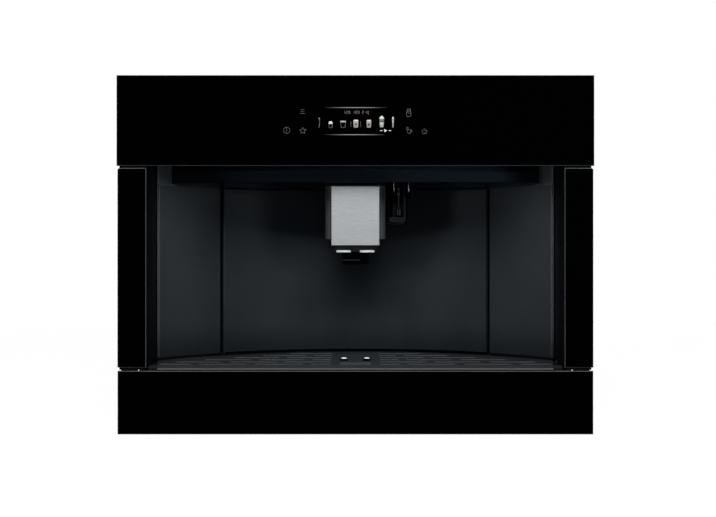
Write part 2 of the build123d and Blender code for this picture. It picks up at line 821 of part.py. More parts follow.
def slot(x0, x1, depth):
    """Stadium-shaped slot through the grate."""
    half = slot_width / 2
    z0, z1 = grate_under - grate_thick, grate_top + cut
    middle = block(x0 + half, x1 - half, depth - half, depth + half, z0, z1)
    return middle + post(half, x0 + half, depth, z0, z1) + post(half, x1 - half, depth, z0, z1)


def grate_rows():
    """Slot rows as (x0, x1, depth), staggered like brickwork, on the right half."""
    rows = []
    step = slot_length + slot_bar
    row = 0
    depth = first_slot_depth
    while depth < wall_depth(field_half) - slot_margin - slot_width / 2:
        x = field_half + (0 if row % 2 else -step / 2)
        while x < grate_half:
            x0 = max(x, field_half)
            x1 = min(x + slot_length, grate_half - slot_side_margin)
            if x1 - x0 > 2 * slot_width and depth + slot_width / 2 < wall_depth(x1) - slot_margin:
                rows.append((x0, x1, depth))
            x += step
        row += 1
        depth += slot_pitch
    return rows


def drip_grate():
    """Slotted grate that follows the curved wall, with a plain field under the spout."""
    edge_radius = wall_radius - grate_wall_gap
    plate = plan_area(grate_half, grate_front, edge_radius, grate_under, grate_top)
    plate = chamfer(plate.edges().filter_by(Axis.X).sort_by(Axis.Y)[:2].sort_by(Axis.Z)[-1:], nose_height)
    plate -= plan_area(grate_half - grate_rim, grate_front + grate_front_rim,
                       edge_radius - grate_rim - grate_thick, grate_under - cut, grate_top - grate_skin)
    rib_area = plan_area(grate_half, grate_front, edge_radius - grate_rim, grate_under, grate_top)
    depth = first_slot_depth + slot_pitch / 2
    while depth < wall_depth(0):
        rib = block(-grate_half + grate_rim, grate_half - grate_rim, depth - grate_rib / 2,
                    depth + grate_rib / 2, grate_under, grate_top - grate_rib_drop)
        plate += rib & rib_area
        depth += slot_pitch
    for x0, x1, depth in grate_rows():
        hole = slot(x0, x1, depth)
        plate = plate - hole - mirrored(hole)
    for row in range(front_slots):
        plate -= slot(-field_half + front_slot_inset, field_half - front_slot_inset,
                      first_slot_depth + row * slot_pitch / 2)
    for x in (-stud_offset, stud_offset):
        plate -= post(stud_peg, x, outlet_depth, grate_under - cut, grate_top + cut)
    lip = block(-grate_half, grate_half, grate_front, grate_front + lip_thick, grate_under - lip_drop,
                grate_under + cut)
    lip = fillet(lip.edges().filter_by(Axis.X).sort_by(Axis.Z)[:2].sort_by(Axis.Y)[:1], lip_round)
    corner = corner_wedge(pad_width + pad_gap, cut, grate_under - grate_thick, grate_top + cut)
    return plate + lip - corner - mirrored(corner)


def grate_studs():
    """Two bright domed studs in the plain field under the outlets."""
    studs = []
    high = door_bottom - stud_clear
    dome = high - grate_top - stud_side
    dome_radius = (stud_radius**2 + dome**2) / (2 * dome)
    for x in (-stud_offset, stud_offset):
        side = post(stud_radius, x, outlet_depth, grate_top, high)
        ball = Pos(x, front_y + outlet_depth, high - dome_radius) * Sphere(dome_radius)
        peg = post(stud_peg, x, outlet_depth, grate_under + cut, grate_top + cut / 2)
        studs.append((side & ball) + peg)
    return Compound(studs)


def level_float():
    """Float with a tongue that rises through the front slot when the tray is full."""
    low = tray_floor + tray_wall + float_gap
    bulb = block(-float_half, float_half, float_front, float_back, low, low + float_height)
    tongue = block(-tongue_half, tongue_half, first_slot_depth - tongue_thick / 2,
                   first_slot_depth + tongue_thick / 2, low + float_height - cut, grate_top - float_top_gap)
    return bulb + tongue


# ------------------------------------------------------------ chassis and covers
inner_web = body_half - 11.5
outer_web = body_half + 2.2
screw_shank = 2.0
screw_fit = 0.05
screw_head_radius = 3.8
screw_length = 9.0
screw_inset = 23.5           # outer screws from the body's side
screw_inner_x = 90.0
rail_left = 150.0
rail_width = 16.0
rail_end_gap = 4.0
rail_fit = 0.2
floor_vent = (44.0, 8.0)     # width and depth of one vent
floor_vent_x = 200.0
floor_vent_pitch = 80.0
floor_vent_start = 250.0
floor_vent_rows = 4
rear_screw_x = (-body_half + screw_inset, -screw_inner_x, screw_inner_x, body_half - screw_inset)
screw_rows = (base_top + rear_lip / 2, deck_top + rear_lip / 2)


def screw_holes(z):
    """Clearance holes for one row of rear cover screws."""
    return Compound([rod_along_y(screw_shank + screw_fit, x, z, rear_inside - screw_length,
                                 rear_outside + cut) for x in rear_screw_x])


def casing_screws():
    """Domed screws that hold the rear cover to the base and the deck."""
    screws = []
    for z in screw_rows:
        for x in rear_screw_x:
            shank = rod_along_y(screw_shank, x, z, rear_outside - screw_length, rear_outside)
            head = rod_along_y(screw_head_radius, x, z, rear_outside, rear_outside + screw_head)
            head = fillet(head.edges().sort_by(Axis.Y)[-1:], screw_head * 0.6)
            screws.append(shank + head)
    return Compound(screws)


def chassis_base():
    """Folded floor with side walls for the runners and outward flanges for the covers."""
    floor = block(-inner_web, inner_web, base_front, rear_inside, base_under, base_top)
    lip = block(-inner_web, inner_web, rear_inside - base_sheet, rear_inside, base_under,
                base_under + base_sheet + rear_lip)
    wall = block(inner_web - base_sheet, inner_web, base_front, rear_inside, base_under, base_flange)
    flange = block(inner_web - base_sheet, body_half, base_front, rear_inside, base_flange, flange_top)
    rail = block(rail_left, rail_left + rail_width, base_front + rail_end_gap,
                 wall_depth(0) - rail_end_gap, base_under, tray_floor - rail_fit)
    base = floor + lip
    for piece in (wall, flange, rail):
        base += piece + mirrored(piece)
    width, depth = floor_vent
    row_pitch = (rear_middle - floor_vent_start) / (floor_vent_rows - 1)
    x = -floor_vent_x
    while x <= floor_vent_x:
        for row in range(floor_vent_rows):
            middle = floor_vent_start + row * row_pitch
            base -= block(x - width / 2, x + width / 2, middle - depth / 2, middle + depth / 2,
                          base_under - cut, base_top + cut)
        x += floor_vent_pitch
    return base - screw_holes(screw_rows[0])


knob_radius = 14.0
knob_x = 150.0
knob_depth = rear_middle
knob_spindle = 4.0
knob_fit = 0.06
socket_radius = 9.0
socket_height = 16.0
grinder_x = 40.0
grinder_depth = rear_middle
grinder_radius = 36.0
grinder_clear = 3.0
chute_x = -150.0
chute_set_back = 42.0        # chute in front of the bay's back wall
chute_low_radius = 13.0
chute_high_radius = 19.5
chute_wall = 2.0
chute_depth = bay_back - chute_set_back


def upper_deck():
    """Shelf over the niche and the service bay that carries the upper compartment."""
    deck = block(-inside_half, inside_half, housing_front, rear_inside, deck_under, deck_top)
    deck -= post(grinder_radius + grinder_clear, grinder_x, grinder_depth, deck_under - cut, deck_top + cut)
    deck -= post(chute_low_radius + chute_wall, chute_x, chute_depth, deck_under - cut, deck_top + cut)
    lip = block(-inside_half, inside_half, rear_inside - deck_thick, rear_inside, deck_top,
                deck_top + rear_lip)
    socket = (post(socket_radius, knob_x, knob_depth, deck_top, deck_top + socket_height)
              - post(knob_spindle + knob_fit, knob_x, knob_depth, deck_top, deck_top + socket_height + cut))
    return deck + lip - screw_holes(screw_rows[1]) + socket


cover_fold = 14.0
drawer_clear = 1.5           # side cover above the drawer's glass
vent_count = 7
vent_low = 110.0
vent_pitch = 14.0
vent_height = 5.0
vent_half = 40.0
tank_slot_gap = 2.0
tank_lid_clear = 3.0


def side_cover():
    """Right side sheet with folded top edge."""
    side = block(inside_half, body_half, housing_front, rear_inside, flange_top, cover_under)
    fold = block(body_half - cover_fold, body_half, housing_front, rear_inside, cover_under - sheet,
                 cover_under)
    drawer_room = block(body_half - cover_fold - cut, body_half + cut, 0, base_front, flange_top - cut,
                        drawer_top + drawer_clear)
    return side + fold - drawer_room


def side_cover_left():
    cover = mirrored(side_cover())
    for i in range(vent_count):
        z = vent_low + i * vent_pitch
        cover -= block(-body_half - cut, -inside_half + cut, rear_middle - vent_half,
                       rear_middle + vent_half, z, z + vent_height)
    return cover


def side_cover_right():
    return side_cover() - block(inside_half - cut, body_half + cut, tank_front - tank_slot_gap,
                                tank_back + tank_slot_gap, flange_top - cut,
                                tank_top + tank_lid_thick / 3 + tank_lid_clear)


hopper_x0 = -60.0
hopper_x1 = 120.0
hopper_d0 = 240.0
hopper_set_back = 27.5       # hopper in front of the rear cover
hopper_wall = 2.0
hopper_gap = 1.0
lid_gap = 0.3
lid_thick = 2.0
lid_rim = 3.0
lid_corner = 8.0
lid_pin = 0.6
lid_pin_fit = 0.05
lid_pin_reach = 5.0
ear_gap = 0.3
ear_thick = 2.5
chute_gap = 1.5
powder_half = 24.0
powder_hinge_inset = 3.0
hopper_d1 = rear_inside - hopper_set_back
hinge_height = cover_top + lid_gap + lid_thick / 2
bean_hinge = hopper_d1 - lid_rim
powder_hinge = chute_depth + powder_half - powder_hinge_inset


def lid_ears(x0, x1, depth):
    """Two ears on the top cover beside a lid's rounded back edge, each with its pin."""
    ears = []
    for x, way in ((x0, -1), (x1, 1)):
        near, far = x + way * ear_gap, x + way * (ear_gap + ear_thick)
        a, b = sorted((near, far))
        ear = (rod_along_x(lid_thick / 2, depth, hinge_height, a, b)
               + block(a, b, depth - lid_thick / 2, depth + lid_thick / 2, cover_top - sheet / 2,
                       hinge_height))
        a, b = sorted((x - way * (lid_pin_reach - pin_end_gap), far))
        ears.append(ear + rod_along_x(lid_pin, depth, hinge_height, a, b))
    return ears


def hinged_lid(x0, x1, d0, hinge, corner):
    """Flat lid with rounded front corners and a full-round back edge bored for the pins."""
    low = cover_top + lid_gap
    plate = block(x0, x1, d0, hinge, low, low + lid_thick)
    plate = fillet(upright_edges(plate, Axis.Y, False), corner)
    plate += rod_along_x(lid_thick / 2, hinge, hinge_height, x0, x1)
    for a, b in ((x0 - cut, x0 + lid_pin_reach), (x1 - lid_pin_reach, x1 + cut)):
        plate -= rod_along_x(lid_pin + lid_pin_fit, hinge, hinge_height, a, b)
    return plate


def top_cover():
    """Top sheet with the openings and hinge ears of the bean and powder lids."""
    cover = block(-body_half, body_half, housing_front + deck_thick, rear_inside, cover_under, cover_top)
    low, high = cover_under - cut, cover_top + cut
    chute_half = chute_high_radius + chute_gap
    cover -= block(hopper_x0 - hopper_gap, hopper_x1 + hopper_gap, hopper_d0 - hopper_gap,
                   hopper_d1 + hopper_gap, low, high)
    cover -= block(chute_x - chute_half, chute_x + chute_half, chute_depth - chute_half,
                   chute_depth + chute_half, low, high)
    cover -= post(knob_radius + hopper_gap, knob_x, knob_depth, low, high)
    for ear in (lid_ears(hopper_x0 - lid_rim, hopper_x1 + lid_rim, bean_hinge)
                + lid_ears(chute_x - powder_half, chute_x + powder_half, powder_hinge)):
        cover += ear
    return cover


inlet_x = -200.0
inlet_z = 116.0
inlet_half = 26.0
inlet_half_height = 13.0
rear_vent_x = (70.0, 132.0, 194.0)
rear_vent_half = 24.0
rear_vent_rows = 9
rear_vent_pitch = 13.0
rear_vent_drop = 48.0        # lowest vent below the deck


def rear_cover():
    """Rear sheet with ventilation slots and the cut-out of the mains inlet."""
    rear = block(-body_half, body_half, rear_inside, rear_outside, base_under, cover_top)
    corner = block(inner_web, body_half + cut, rear_inside - cut, rear_outside + cut, base_under - cut,
                   base_flange)
    rear -= corner + mirrored(corner)
    for x in rear_vent_x:
        for row in range(rear_vent_rows):
            z = deck_under - rear_vent_drop + row * rear_vent_pitch
            rear -= block(x - rear_vent_half, x + rear_vent_half, rear_inside - cut, rear_outside + cut,
                          z, z + vent_height)
    rear -= block(inlet_x - inlet_half, inlet_x + inlet_half, rear_inside - cut, rear_outside + cut,
                  inlet_z - inlet_half_height, inlet_z + inlet_half_height)
    for z in screw_rows:
        rear -= screw_holes(z)
    return rear


# --------------------------------------------------------------- service bay
bay_side_gap = 3.1           # bay's sides outside the seams
bay_front_gap = 29.0         # bay's sides behind the seams' front
bay_wall = 2.0
bay_floor_rise = 2.0         # floor above the grate's level
leg_width = 12.0
leg_depth = 14.0
leg_x = 170.0
sill_gap = 1.0               # sill behind the wings' skirts
sill_thick = 2.5
sill_reach = 0.02            # angle that the sill reaches behind the wings
catch_x0 = 164.0
catch_x1 = 186.0
catch_low = 196.0
catch_high = 214.0
catch_depth = 14.0
bay_half = seam_half + bay_side_gap
bay_front = wall_depth(seam_half) + bay_front_gap
bay_floor = grate_top + bay_floor_rise


def door_catch():
    """Spring catch on the right bay wall that holds the closed door's edge."""
    depth = wall_depth((catch_x0 + catch_x1) / 2, rib_back) + cut
    body = block(catch_x0, catch_x1, depth, depth + catch_depth, catch_low, catch_high)
    return fillet(upright_edges(body, Axis.X, False), bay_wall)


def bay_sill():
    """Dark upstand and ledge that close the gap under the door from behind."""
    inner = wall_back + sill_gap
    outer = rib_back + door_back_gap
    end = seam_angle + sill_reach
    top = grate_top + wing_gap_below - bracket_clear
    ledge_low = top - sill_thick
    sill = wall_band(inner, inner + sill_thick, -end, end, flange_top, top)
    ledge_end = seam_angle - 2 * sill_reach
    sill += wall_band(inner, outer + sill_thick, -ledge_end, ledge_end, ledge_low - cut, top - cut)
    return sill + wall_band(outer, outer + sill_thick, -ledge_end, ledge_end, ledge_low, bay_floor + cut)


def service_bay():
    """Moulded liner behind the door: floor, sides, back and sill, on two legs."""
    outside = block(-bay_half, bay_half, bay_front, bay_back, bay_floor, deck_under)
    room = block(-bay_half + bay_wall, bay_half - bay_wall, bay_front - cut, bay_back - bay_wall,
                 bay_floor + bay_wall, deck_under + cut)
    door_room = drum(rib_back + door_back_gap) & block(-bay_half + bay_wall, bay_half - bay_wall, 0,
                                                       bay_back, bay_floor - cut, deck_under + cut)
    liner = outside - room - door_room
    for x in (-leg_x, leg_x):
        liner += block(x - leg_width / 2, x + leg_width / 2, bay_back - leg_depth, bay_back, base_top,
                       bay_floor + cut)
    return liner + bay_sill() + door_catch()


container_half = 96.0
container_front_gap = 5.1
container_back_gap = 24.0
container_wall = 2.2
container_corner = 12.0
container_gap = 6.0          # container's rim below the brew unit
lip_half = 40.0
lip_reach = 6.0
lip_height = 4.0


def grounds_container():
    """Bin for the spent coffee, with a front lip to grip it by."""
    front = bay_front_edge + container_front_gap
    top = brew_low - container_gap
    bin_shape = shell_box(-container_half, container_half, front, bay_back - container_back_gap,
                          bay_floor + bay_wall, top, container_wall, container_corner)
    lip = block(-lip_half, lip_half, front - lip_reach, front + cut, top - lip_height, top)
    return bin_shape + fillet(upright_edges(lip, Axis.Y, False), lip_height)


# ------------------------------------------------------------------ brew unit
brew_set_back = 80.0         # brewing axis in front of the bay's back wall
brew_drop = 48.0             # upper shelf below the deck
brew_height = 122.0
brew_plate = 6.0
brew_plate_gap = 38.0        # back plate behind the brewing axis
brew_back_half = 62.0
brew_shelf_half = 56.0
brew_frame_rim = 14.0
chamber_bore = 22.0
chamber_wall = 4.0
chamber_rise = 20.0
chamber_height = 54.0
chamber_floor = 6.0
piston_gap = 4.0
piston_height = 22.0
piston_stem = 12.0
piston_fit = 0.08
piston_groove = 3.0
nut_height = 20.0
nut_half = 9.0
nut_reach = 8.0
nut_corner = 5.0
chute_half_width = 16.0
chute_reach = 44.0
lead_x = 40.0
lead_radius = 4.0
lead_collar = 7.0
lead_gap = 0.3
guide_radius = 5.0
running_fit = 0.06
brew_motor_radius = 15.0
motor_ear = 3.0
motor_ear_half = 24.0
brew_depth = bay_back - brew_set_back
brew_top = deck_under - brew_drop
brew_low = brew_top - brew_height
brew_back = brew_depth + brew_plate_gap
chamber_low = brew_low + chamber_rise
chamber_high = chamber_low + chamber_height


def brew_frame():
    """Back plate with upper and lower shelves; the chamber runs between them."""
    back = block(-brew_back_half, brew_back_half, brew_back, bay_back - bay_wall, brew_low, deck_under)
    lighten = block(-brew_back_half + brew_frame_rim, brew_back_half - brew_frame_rim,
                    brew_back + brew_plate, bay_back, brew_low + brew_plate, deck_under - chamber_rise)
    lower = block(-brew_shelf_half, brew_shelf_half, brew_depth - chamber_bore, brew_back + cut,
                  brew_low, brew_low + brew_plate)
    upper = block(-brew_shelf_half, brew_shelf_half, brew_depth - chamber_bore - nut_reach,
                  brew_back + cut, brew_top, brew_top + brew_plate)
    lower -= post(brew_motor_radius, 0, brew_depth, brew_low - cut, brew_low + brew_plate + cut)
    frame = back - lighten + lower + upper
    frame += post(guide_radius, -lead_x, brew_depth, brew_low, brew_top + cut)
    for z0 in (brew_low - cut, brew_top - cut):
        frame -= post(lead_radius + running_fit, lead_x, brew_depth, z0, z0 + brew_plate + 2 * cut)
    return frame


def upper_piston():
    """Fixed piston that closes the chamber from above, with a seal groove and an inlet."""
    low = chamber_high + piston_gap
    body = post(chamber_bore - piston_fit, 0, brew_depth, low, low + piston_height)
    stem = post(piston_stem, 0, brew_depth, low + piston_height - 2 * cut, brew_top)
    z0 = low + 2 * piston_groove
    groove = (post(chamber_bore + cut, 0, brew_depth, z0, z0 + piston_groove)
              - post(chamber_bore - piston_groove, 0, brew_depth, z0 - cut, z0 + piston_groove + cut))
    return body + stem - groove - post(lead_radius / 2, 0, brew_depth, low - cut, brew_top + cut)


def brew_chamber():
    """Cup of the brew unit with its guide sleeve, screw nut and outlet slope."""
    cup = post(chamber_bore + chamber_wall, 0, brew_depth, chamber_low, chamber_high)
    nut = block(chamber_bore, lead_x + nut_reach, brew_depth - nut_half, brew_depth + nut_half,
                chamber_low, chamber_low + nut_height)
    guide = block(-lead_x - nut_reach - cut, -chamber_bore, brew_depth - nut_half, brew_depth + nut_half,
                  chamber_low, chamber_low + nut_height + chamber_wall)
    nut = fillet(upright_edges(nut, Axis.X, True), nut_corner)
    guide = fillet(upright_edges(guide, Axis.X, False), nut_corner)
    slope = block(-chute_half_width, chute_half_width, brew_depth - chute_reach,
                  brew_depth - chamber_bore + chamber_wall, chamber_high - chamber_wall, chamber_high)
    body = cup + nut + guide + slope
    body -= post(chamber_bore, 0, brew_depth, chamber_low + chamber_floor, chamber_high + cut)
    body -= post(lead_radius + running_fit, lead_x, brew_depth, chamber_low - cut,
                 chamber_low + nut_height + cut)
    return body - post(guide_radius + running_fit, -lead_x, brew_depth, chamber_low - cut,
                       chamber_low + nut_height + chamber_wall + cut)


def lead_screw():
    """Drive screw with a collar on the lower shelf and a coupling under the motor."""
    shelf = brew_low + brew_plate
    top = brew_top + brew_plate
    shaft = post(lead_radius, lead_x, brew_depth, brew_low + cut / 2, top + nut_reach)
    collar = post(lead_collar, lead_x, brew_depth, shelf + lead_gap, shelf + chamber_wall)
    coupling = post(lead_collar, lead_x, brew_depth, top + lead_gap, top + brew_plate)
    return shaft + collar + coupling


def brew_motor():
    """Motor that turns the lead screw, hung from the deck by two ears."""
    low = brew_top + brew_plate + nut_reach + lead_gap
    can = post(brew_motor_radius, lead_x, brew_depth, low, deck_under)
    can = fillet(can.edges().filter_by(GeomType.CIRCLE).sort_by(Axis.Z)[:1], motor_ear / 2)
    ears = block(lead_x - motor_ear_half, lead_x + motor_ear_half, brew_depth - brew_plate,
                 brew_depth + brew_plate, deck_under - motor_ear, deck_under)
    return can + ears


# -------------------------------------------------------------- grinder, beans
grinder_rise = 22.0          # grinder's top above the deck
grinder_height = 66.0
grinder_wall = 4.0
grinder_floor = 6.0
grinder_roof = 5.0
grinder_flange = 8.0
throat = 20.0
burr_rise = 24.0
burr_height = 22.0
burr_teeth = 24
tooth_width = 1.4
tooth_start = 19.0
burr_bore_low = 27.5
burr_bore_high = 20.0
cone_low = 25.0
cone_high = 17.0
cone_flutes = 16
flute_width = 1.8
burr_gap = 1.0
shaft_radius = 5.0
sweep_radius = 26.0
sweep_reach = 30.0
sweep_height = 4.0
outlet_half = 12.0
outlet_wall = 3.0
outlet_rise = 8.0
outlet_height = 16.0
grinder_high = deck_top + grinder_rise
grinder_low = grinder_high - grinder_height
burr_low = grinder_low + burr_rise
burr_high = burr_low + burr_height
grinder_y = front_y + grinder_depth


def round_the_grinder(shape, count, offset=0.0):
    """Copies of a shape, drawn about the origin, spread round the grinder's axis."""
    place = Pos(grinder_x, grinder_y, 0)
    return [place * Rot(0, 0, 360 / count * i + offset) * shape for i in range(count)]


def grinder_housing():
    """Pot round the burrs, hung in the deck by its flange, with an outlet at the front."""
    pot = post(grinder_radius, grinder_x, grinder_depth, grinder_low, grinder_high)
    room = post(grinder_radius - grinder_wall, grinder_x, grinder_depth, grinder_low + grinder_floor,
                grinder_high - grinder_roof)
    mouth = post(throat, grinder_x, grinder_depth, grinder_high - grinder_floor, grinder_high + cut)
    low = grinder_low + outlet_rise
    outlet = block(grinder_x - outlet_half, grinder_x + outlet_half, bay_back + cut / 2,
                   grinder_depth - throat, low, low + outlet_height)
    bore = block(grinder_x - outlet_half + outlet_wall, grinder_x + outlet_half - outlet_wall, bay_back,
                 grinder_depth - throat, low + outlet_wall, low + outlet_height - outlet_wall)
    shaft_hole = post(shaft_radius + running_fit, grinder_x, grinder_depth, grinder_low - cut,
                      grinder_low + grinder_floor + cut)
    flange = post(grinder_radius + grinder_flange, grinder_x, grinder_depth, deck_top,
                  deck_top + grinder_clear)
    return pot + outlet + flange - room - mouth - bore - shaft_hole


def ring_burr():
    """Fixed outer burr: a toothed steel ring with a conical bore."""
    ring = post(grinder_radius - grinder_wall, grinder_x, grinder_depth, burr_low, burr_high)
    ring -= Pos(grinder_x, grinder_y, (burr_low + burr_high) / 2) * Cone(
        burr_bore_low, burr_bore_high, burr_height)
    tooth = Pos((tooth_start + burr_bore_low + burr_gap) / 2, 0, burr_low + burr_height / 2 - 2 * burr_gap) * Box(
        burr_bore_low + burr_gap - tooth_start, tooth_width, burr_height)
    for gap in round_the_grinder(tooth, burr_teeth):
        ring -= gap
    return ring


def cone_burr():
    """Turning inner burr: a fluted cone on its shaft, with the plate that sweeps the grounds out."""
    height = burr_height - 2 * burr_gap
    burr = Pos(grinder_x, grinder_y, burr_low + burr_gap + height / 2) * Cone(cone_low, cone_high, height)
    flute = Pos(cone_high + burr_wide, 0, burr_low + burr_height / 2) * Box(
        2 * burr_wide, flute_width, burr_height)
    for groove in round_the_grinder(flute, cone_flutes, 180 / cone_flutes):
        burr -= groove
    shaft = post(shaft_radius, grinder_x, grinder_depth, grinder_low - outlet_rise, burr_low + outlet_wall)
    plate_low = grinder_low + grinder_floor + outlet_wall
    plate = post(sweep_radius, grinder_x, grinder_depth, plate_low, plate_low + outlet_wall)
    sweep = block(grinder_x - sweep_reach, grinder_x + sweep_reach, grinder_depth - sweep_height / 2,
                  grinder_depth + sweep_height / 2, plate_low + outlet_wall,
                  plate_low + outlet_wall + sweep_height)
    return burr + shaft + plate + sweep


burr_wide = cone_low - cone_high - 3 * burr_gap
motor_height = 84.0
motor_radius = 30.0
motor_gap = 0.3
motor_edge = 4.0
motor_bore_depth = 14.0
foot_thick = 6.0
foot_half = 10.0
foot_overlap = 24.0
strap_rise = 4.0


def grinder_motor():
    """Motor can under the grinder, on two feet that stand on the base."""
    can_low = grinder_low - motor_height
    can = post(motor_radius, grinder_x, grinder_depth, can_low, grinder_low - motor_gap)
    can = fillet(can.edges().filter_by(GeomType.CIRCLE).sort_by(Axis.Z)[:1], motor_edge)
    motor = can - post(shaft_radius + cut, grinder_x, grinder_depth, grinder_low - motor_bore_depth,
                       grinder_low)
    for way in (-1, 1):
        x = grinder_x + way * (motor_radius + motor_edge)
        motor += block(x - foot_thick / 2, x + foot_thick / 2, grinder_depth - foot_half,
                       grinder_depth + foot_half, base_top, can_low + foot_overlap)
    reach = motor_radius + motor_edge + foot_thick / 2
    return motor + block(grinder_x - reach, grinder_x + reach, grinder_depth - foot_half,
                         grinder_depth + foot_half, can_low + strap_rise, can_low + 2 * strap_rise)


neck_height = 26.0
seal_inset = 1.0
seal_drop = 2.0
seal_back = 23.0             # seal in front of the lid's hinge
seal_roof = 1.3


def hopper_level(z, inset, corner):
    """Rounded outline of the hopper's upper part at one height."""
    middle = Pos((hopper_x0 + hopper_x1) / 2, front_y + (hopper_d0 + hopper_d1) / 2)
    return Plane.XY.offset(z) * middle * RectangleRounded(
        hopper_x1 - hopper_x0 - 2 * inset, hopper_d1 - hopper_d0 - 2 * inset, corner)


def throat_level(half, corner):
    """Rounded outline of the hopper's lower end, over the grinder's throat."""
    return Plane.XY.offset(grinder_high) * Pos(grinder_x, grinder_y) * RectangleRounded(
        2 * half, 2 * half, corner)


def bean_hopper():
    """Tapered bean tub that ends over the grinder's throat."""
    shoulder = cover_top - neck_height
    outside = loft([throat_level(throat + outlet_wall, throat), hopper_level(shoulder, 0, throat)])
    inside = loft([throat_level(throat, throat - outlet_wall),
                   hopper_level(shoulder, hopper_wall, throat - hopper_wall)])
    neck = extrude(hopper_level(shoulder, 0, throat), amount=neck_height)
    room = extrude(hopper_level(shoulder, hopper_wall, throat - hopper_wall), amount=neck_height + cut)
    return outside + neck - inside - room


def bean_lid():
    """Lid over the beans, with a seal that stands in the hopper's mouth."""
    lid = hinged_lid(hopper_x0 - lid_rim, hopper_x1 + lid_rim, hopper_d0 - lid_rim, bean_hinge, lid_corner)
    inset = hopper_wall + seal_inset
    low = cover_top - seal_drop
    high = cover_top + lid_gap + cut / 2
    x0, x1 = hopper_x0 + inset, hopper_x1 - inset
    d0, d1 = hopper_d0 + inset, bean_hinge - seal_back
    seal = rounded(block(x0, x1, d0, d1, low, high), throat)
    seal -= rounded(block(x0 + hopper_wall, x1 - hopper_wall, d0 + hopper_wall, d1 - hopper_wall,
                          low - cut, high - seal_roof + cut), throat - hopper_wall)
    return lid + seal


chute_end_drop = 6.0
chute_collar = 20.0


def powder_chute():
    """Funnel for ground coffee, from the top cover down through the deck."""
    y = front_y + chute_depth
    low = Plane.XY.offset(deck_under - chute_end_drop) * Pos(chute_x, y)
    high = Plane.XY.offset(cover_top - chute_collar) * Pos(chute_x, y)
    outside = loft([low * Circle(chute_low_radius), high * Circle(chute_high_radius)])
    inside = loft([low * Circle(chute_low_radius - chute_wall),
                   high * Circle(chute_high_radius - chute_wall)])
    collar = post(chute_high_radius, chute_x, chute_depth, cover_top - chute_collar, cover_top)
    flange = post(chute_high_radius, chute_x, chute_depth, deck_top, deck_top + chute_wall)
    room = post(chute_high_radius - chute_wall, chute_x, chute_depth, cover_top - chute_collar,
                cover_top + cut)
    return outside + collar + flange - inside - room


def powder_lid():
    return hinged_lid(chute_x - powder_half, chute_x + powder_half, chute_depth - powder_half,
                      powder_hinge, lid_corner)


knob_height = 10.0
knob_rise = 2.0
knob_flutes = 12
flute_radius = 2.2
spindle_gap = 0.4


def grind_knob():
    """Grind setting knob with finger flutes, on its spindle."""
    high = cover_top + knob_rise
    low = high - knob_height
    knob = post(knob_radius, knob_x, knob_depth, low, high)
    for i in range(knob_flutes):
        angle = radians(360 / knob_flutes * i)
        reach = knob_radius + flute_radius / 3
        knob -= post(flute_radius, knob_x + reach * cos(angle), knob_depth + reach * sin(angle), low - cut,
                     high + cut)
    return knob + post(knob_spindle, knob_x, knob_depth, deck_top + spindle_gap, low + cut)


# ------------------------------------------------------------------ water tank
tank_bay_gap = 4.5
tank_front = 142.0
tank_back_gap = 6.0
tank_dock_gap = 4.0
tank_deck_gap = 56.0
tank_wall = 2.4
tank_corner = 14.0
tank_lid_thick = 6.0
tank_lid_fit = 0.3
grip_front = 205.0
grip_back = 273.0
grip_drop = 34.0             # grip's upper edge below the tank's rim
grip_height = 22.0
grip_depth = 12.0
valve_offset = 4.0
valve_inset = 36.0
valve_seat = 11.0
valve_bore = 7.0
valve_drop = 14.0
dock_gap = 0.3
dock_rim = 6.0
dock_stop = 3.0
dock_stop_height = 26.0
tank_left = bay_half + tank_bay_gap
tank_right = inside_half
tank_back = bay_back - tank_back_gap
tank_low = flange_top + tank_dock_gap
tank_top = deck_under - tank_deck_gap


def water_tank():
    """Clear tub with a grip in its outer face."""
    tub = shell_box(tank_left, tank_right, tank_front, tank_back, tank_low, tank_top, tank_wall, tank_corner)
    high = tank_top - grip_drop
    low = high - grip_height
    inner = tank_right - grip_depth
    grip = block(inner, tank_right + cut, grip_front, grip_back, low, high)
    wall = block(inner - tank_wall, tank_right - cut, grip_front - tank_wall, grip_back + tank_wall,
                 low - tank_wall, high + tank_wall)
    return tub + wall - grip


def tank_lid():
    """Lid that rests on the tank's rim, with a step that drops inside it."""
    plate = tank_lid_thick / 3
    lid = rounded(block(tank_left - cut, tank_right, tank_front - cut, tank_back + cut, tank_top,
                        tank_top + plate), tank_corner - plate)
    inset = tank_wall + tank_lid_fit
    inner = block(tank_left + inset, tank_right - inset, tank_front + inset, tank_back - inset,
                  tank_top + plate - tank_lid_thick, tank_top + cut)
    return lid + rounded(inner, tank_corner - inset)


def tank_dock():
    """Shelf beside the bay that the tank slides onto, with its valve seat."""
    valve_x = (tank_left + tank_right) / 2 - valve_offset
    valve_depth = tank_back - valve_inset
    shelf = block(bay_half, inside_half, tank_front - dock_rim, tank_back + dock_rim, flange_top,
                  tank_low - dock_gap)
    stop = block(bay_half, bay_half + dock_stop, tank_front, tank_back, tank_low - cut,
                 tank_low + dock_stop_height)
    seat = post(valve_seat, valve_x, valve_depth, base_flange - valve_drop, flange_top + cut)
    bore = post(valve_bore, valve_x, valve_depth, base_flange - valve_drop - cut, tank_low + cut)
    return shelf + stop + seat - bore


# ---------------------------------------------------------- pump, boiler, power
pump_x = -47.0
pump_half = 23.0
pump_half_length = 20.0
pump_low = 40.0
pump_height = 44.0
pump_barrel = 10.0
pump_reach = 48.0
pump_outlet = 4.0
pump_outlet_length = 12.0
pump_foot = 10.0
pump_foot_inset = 2.0


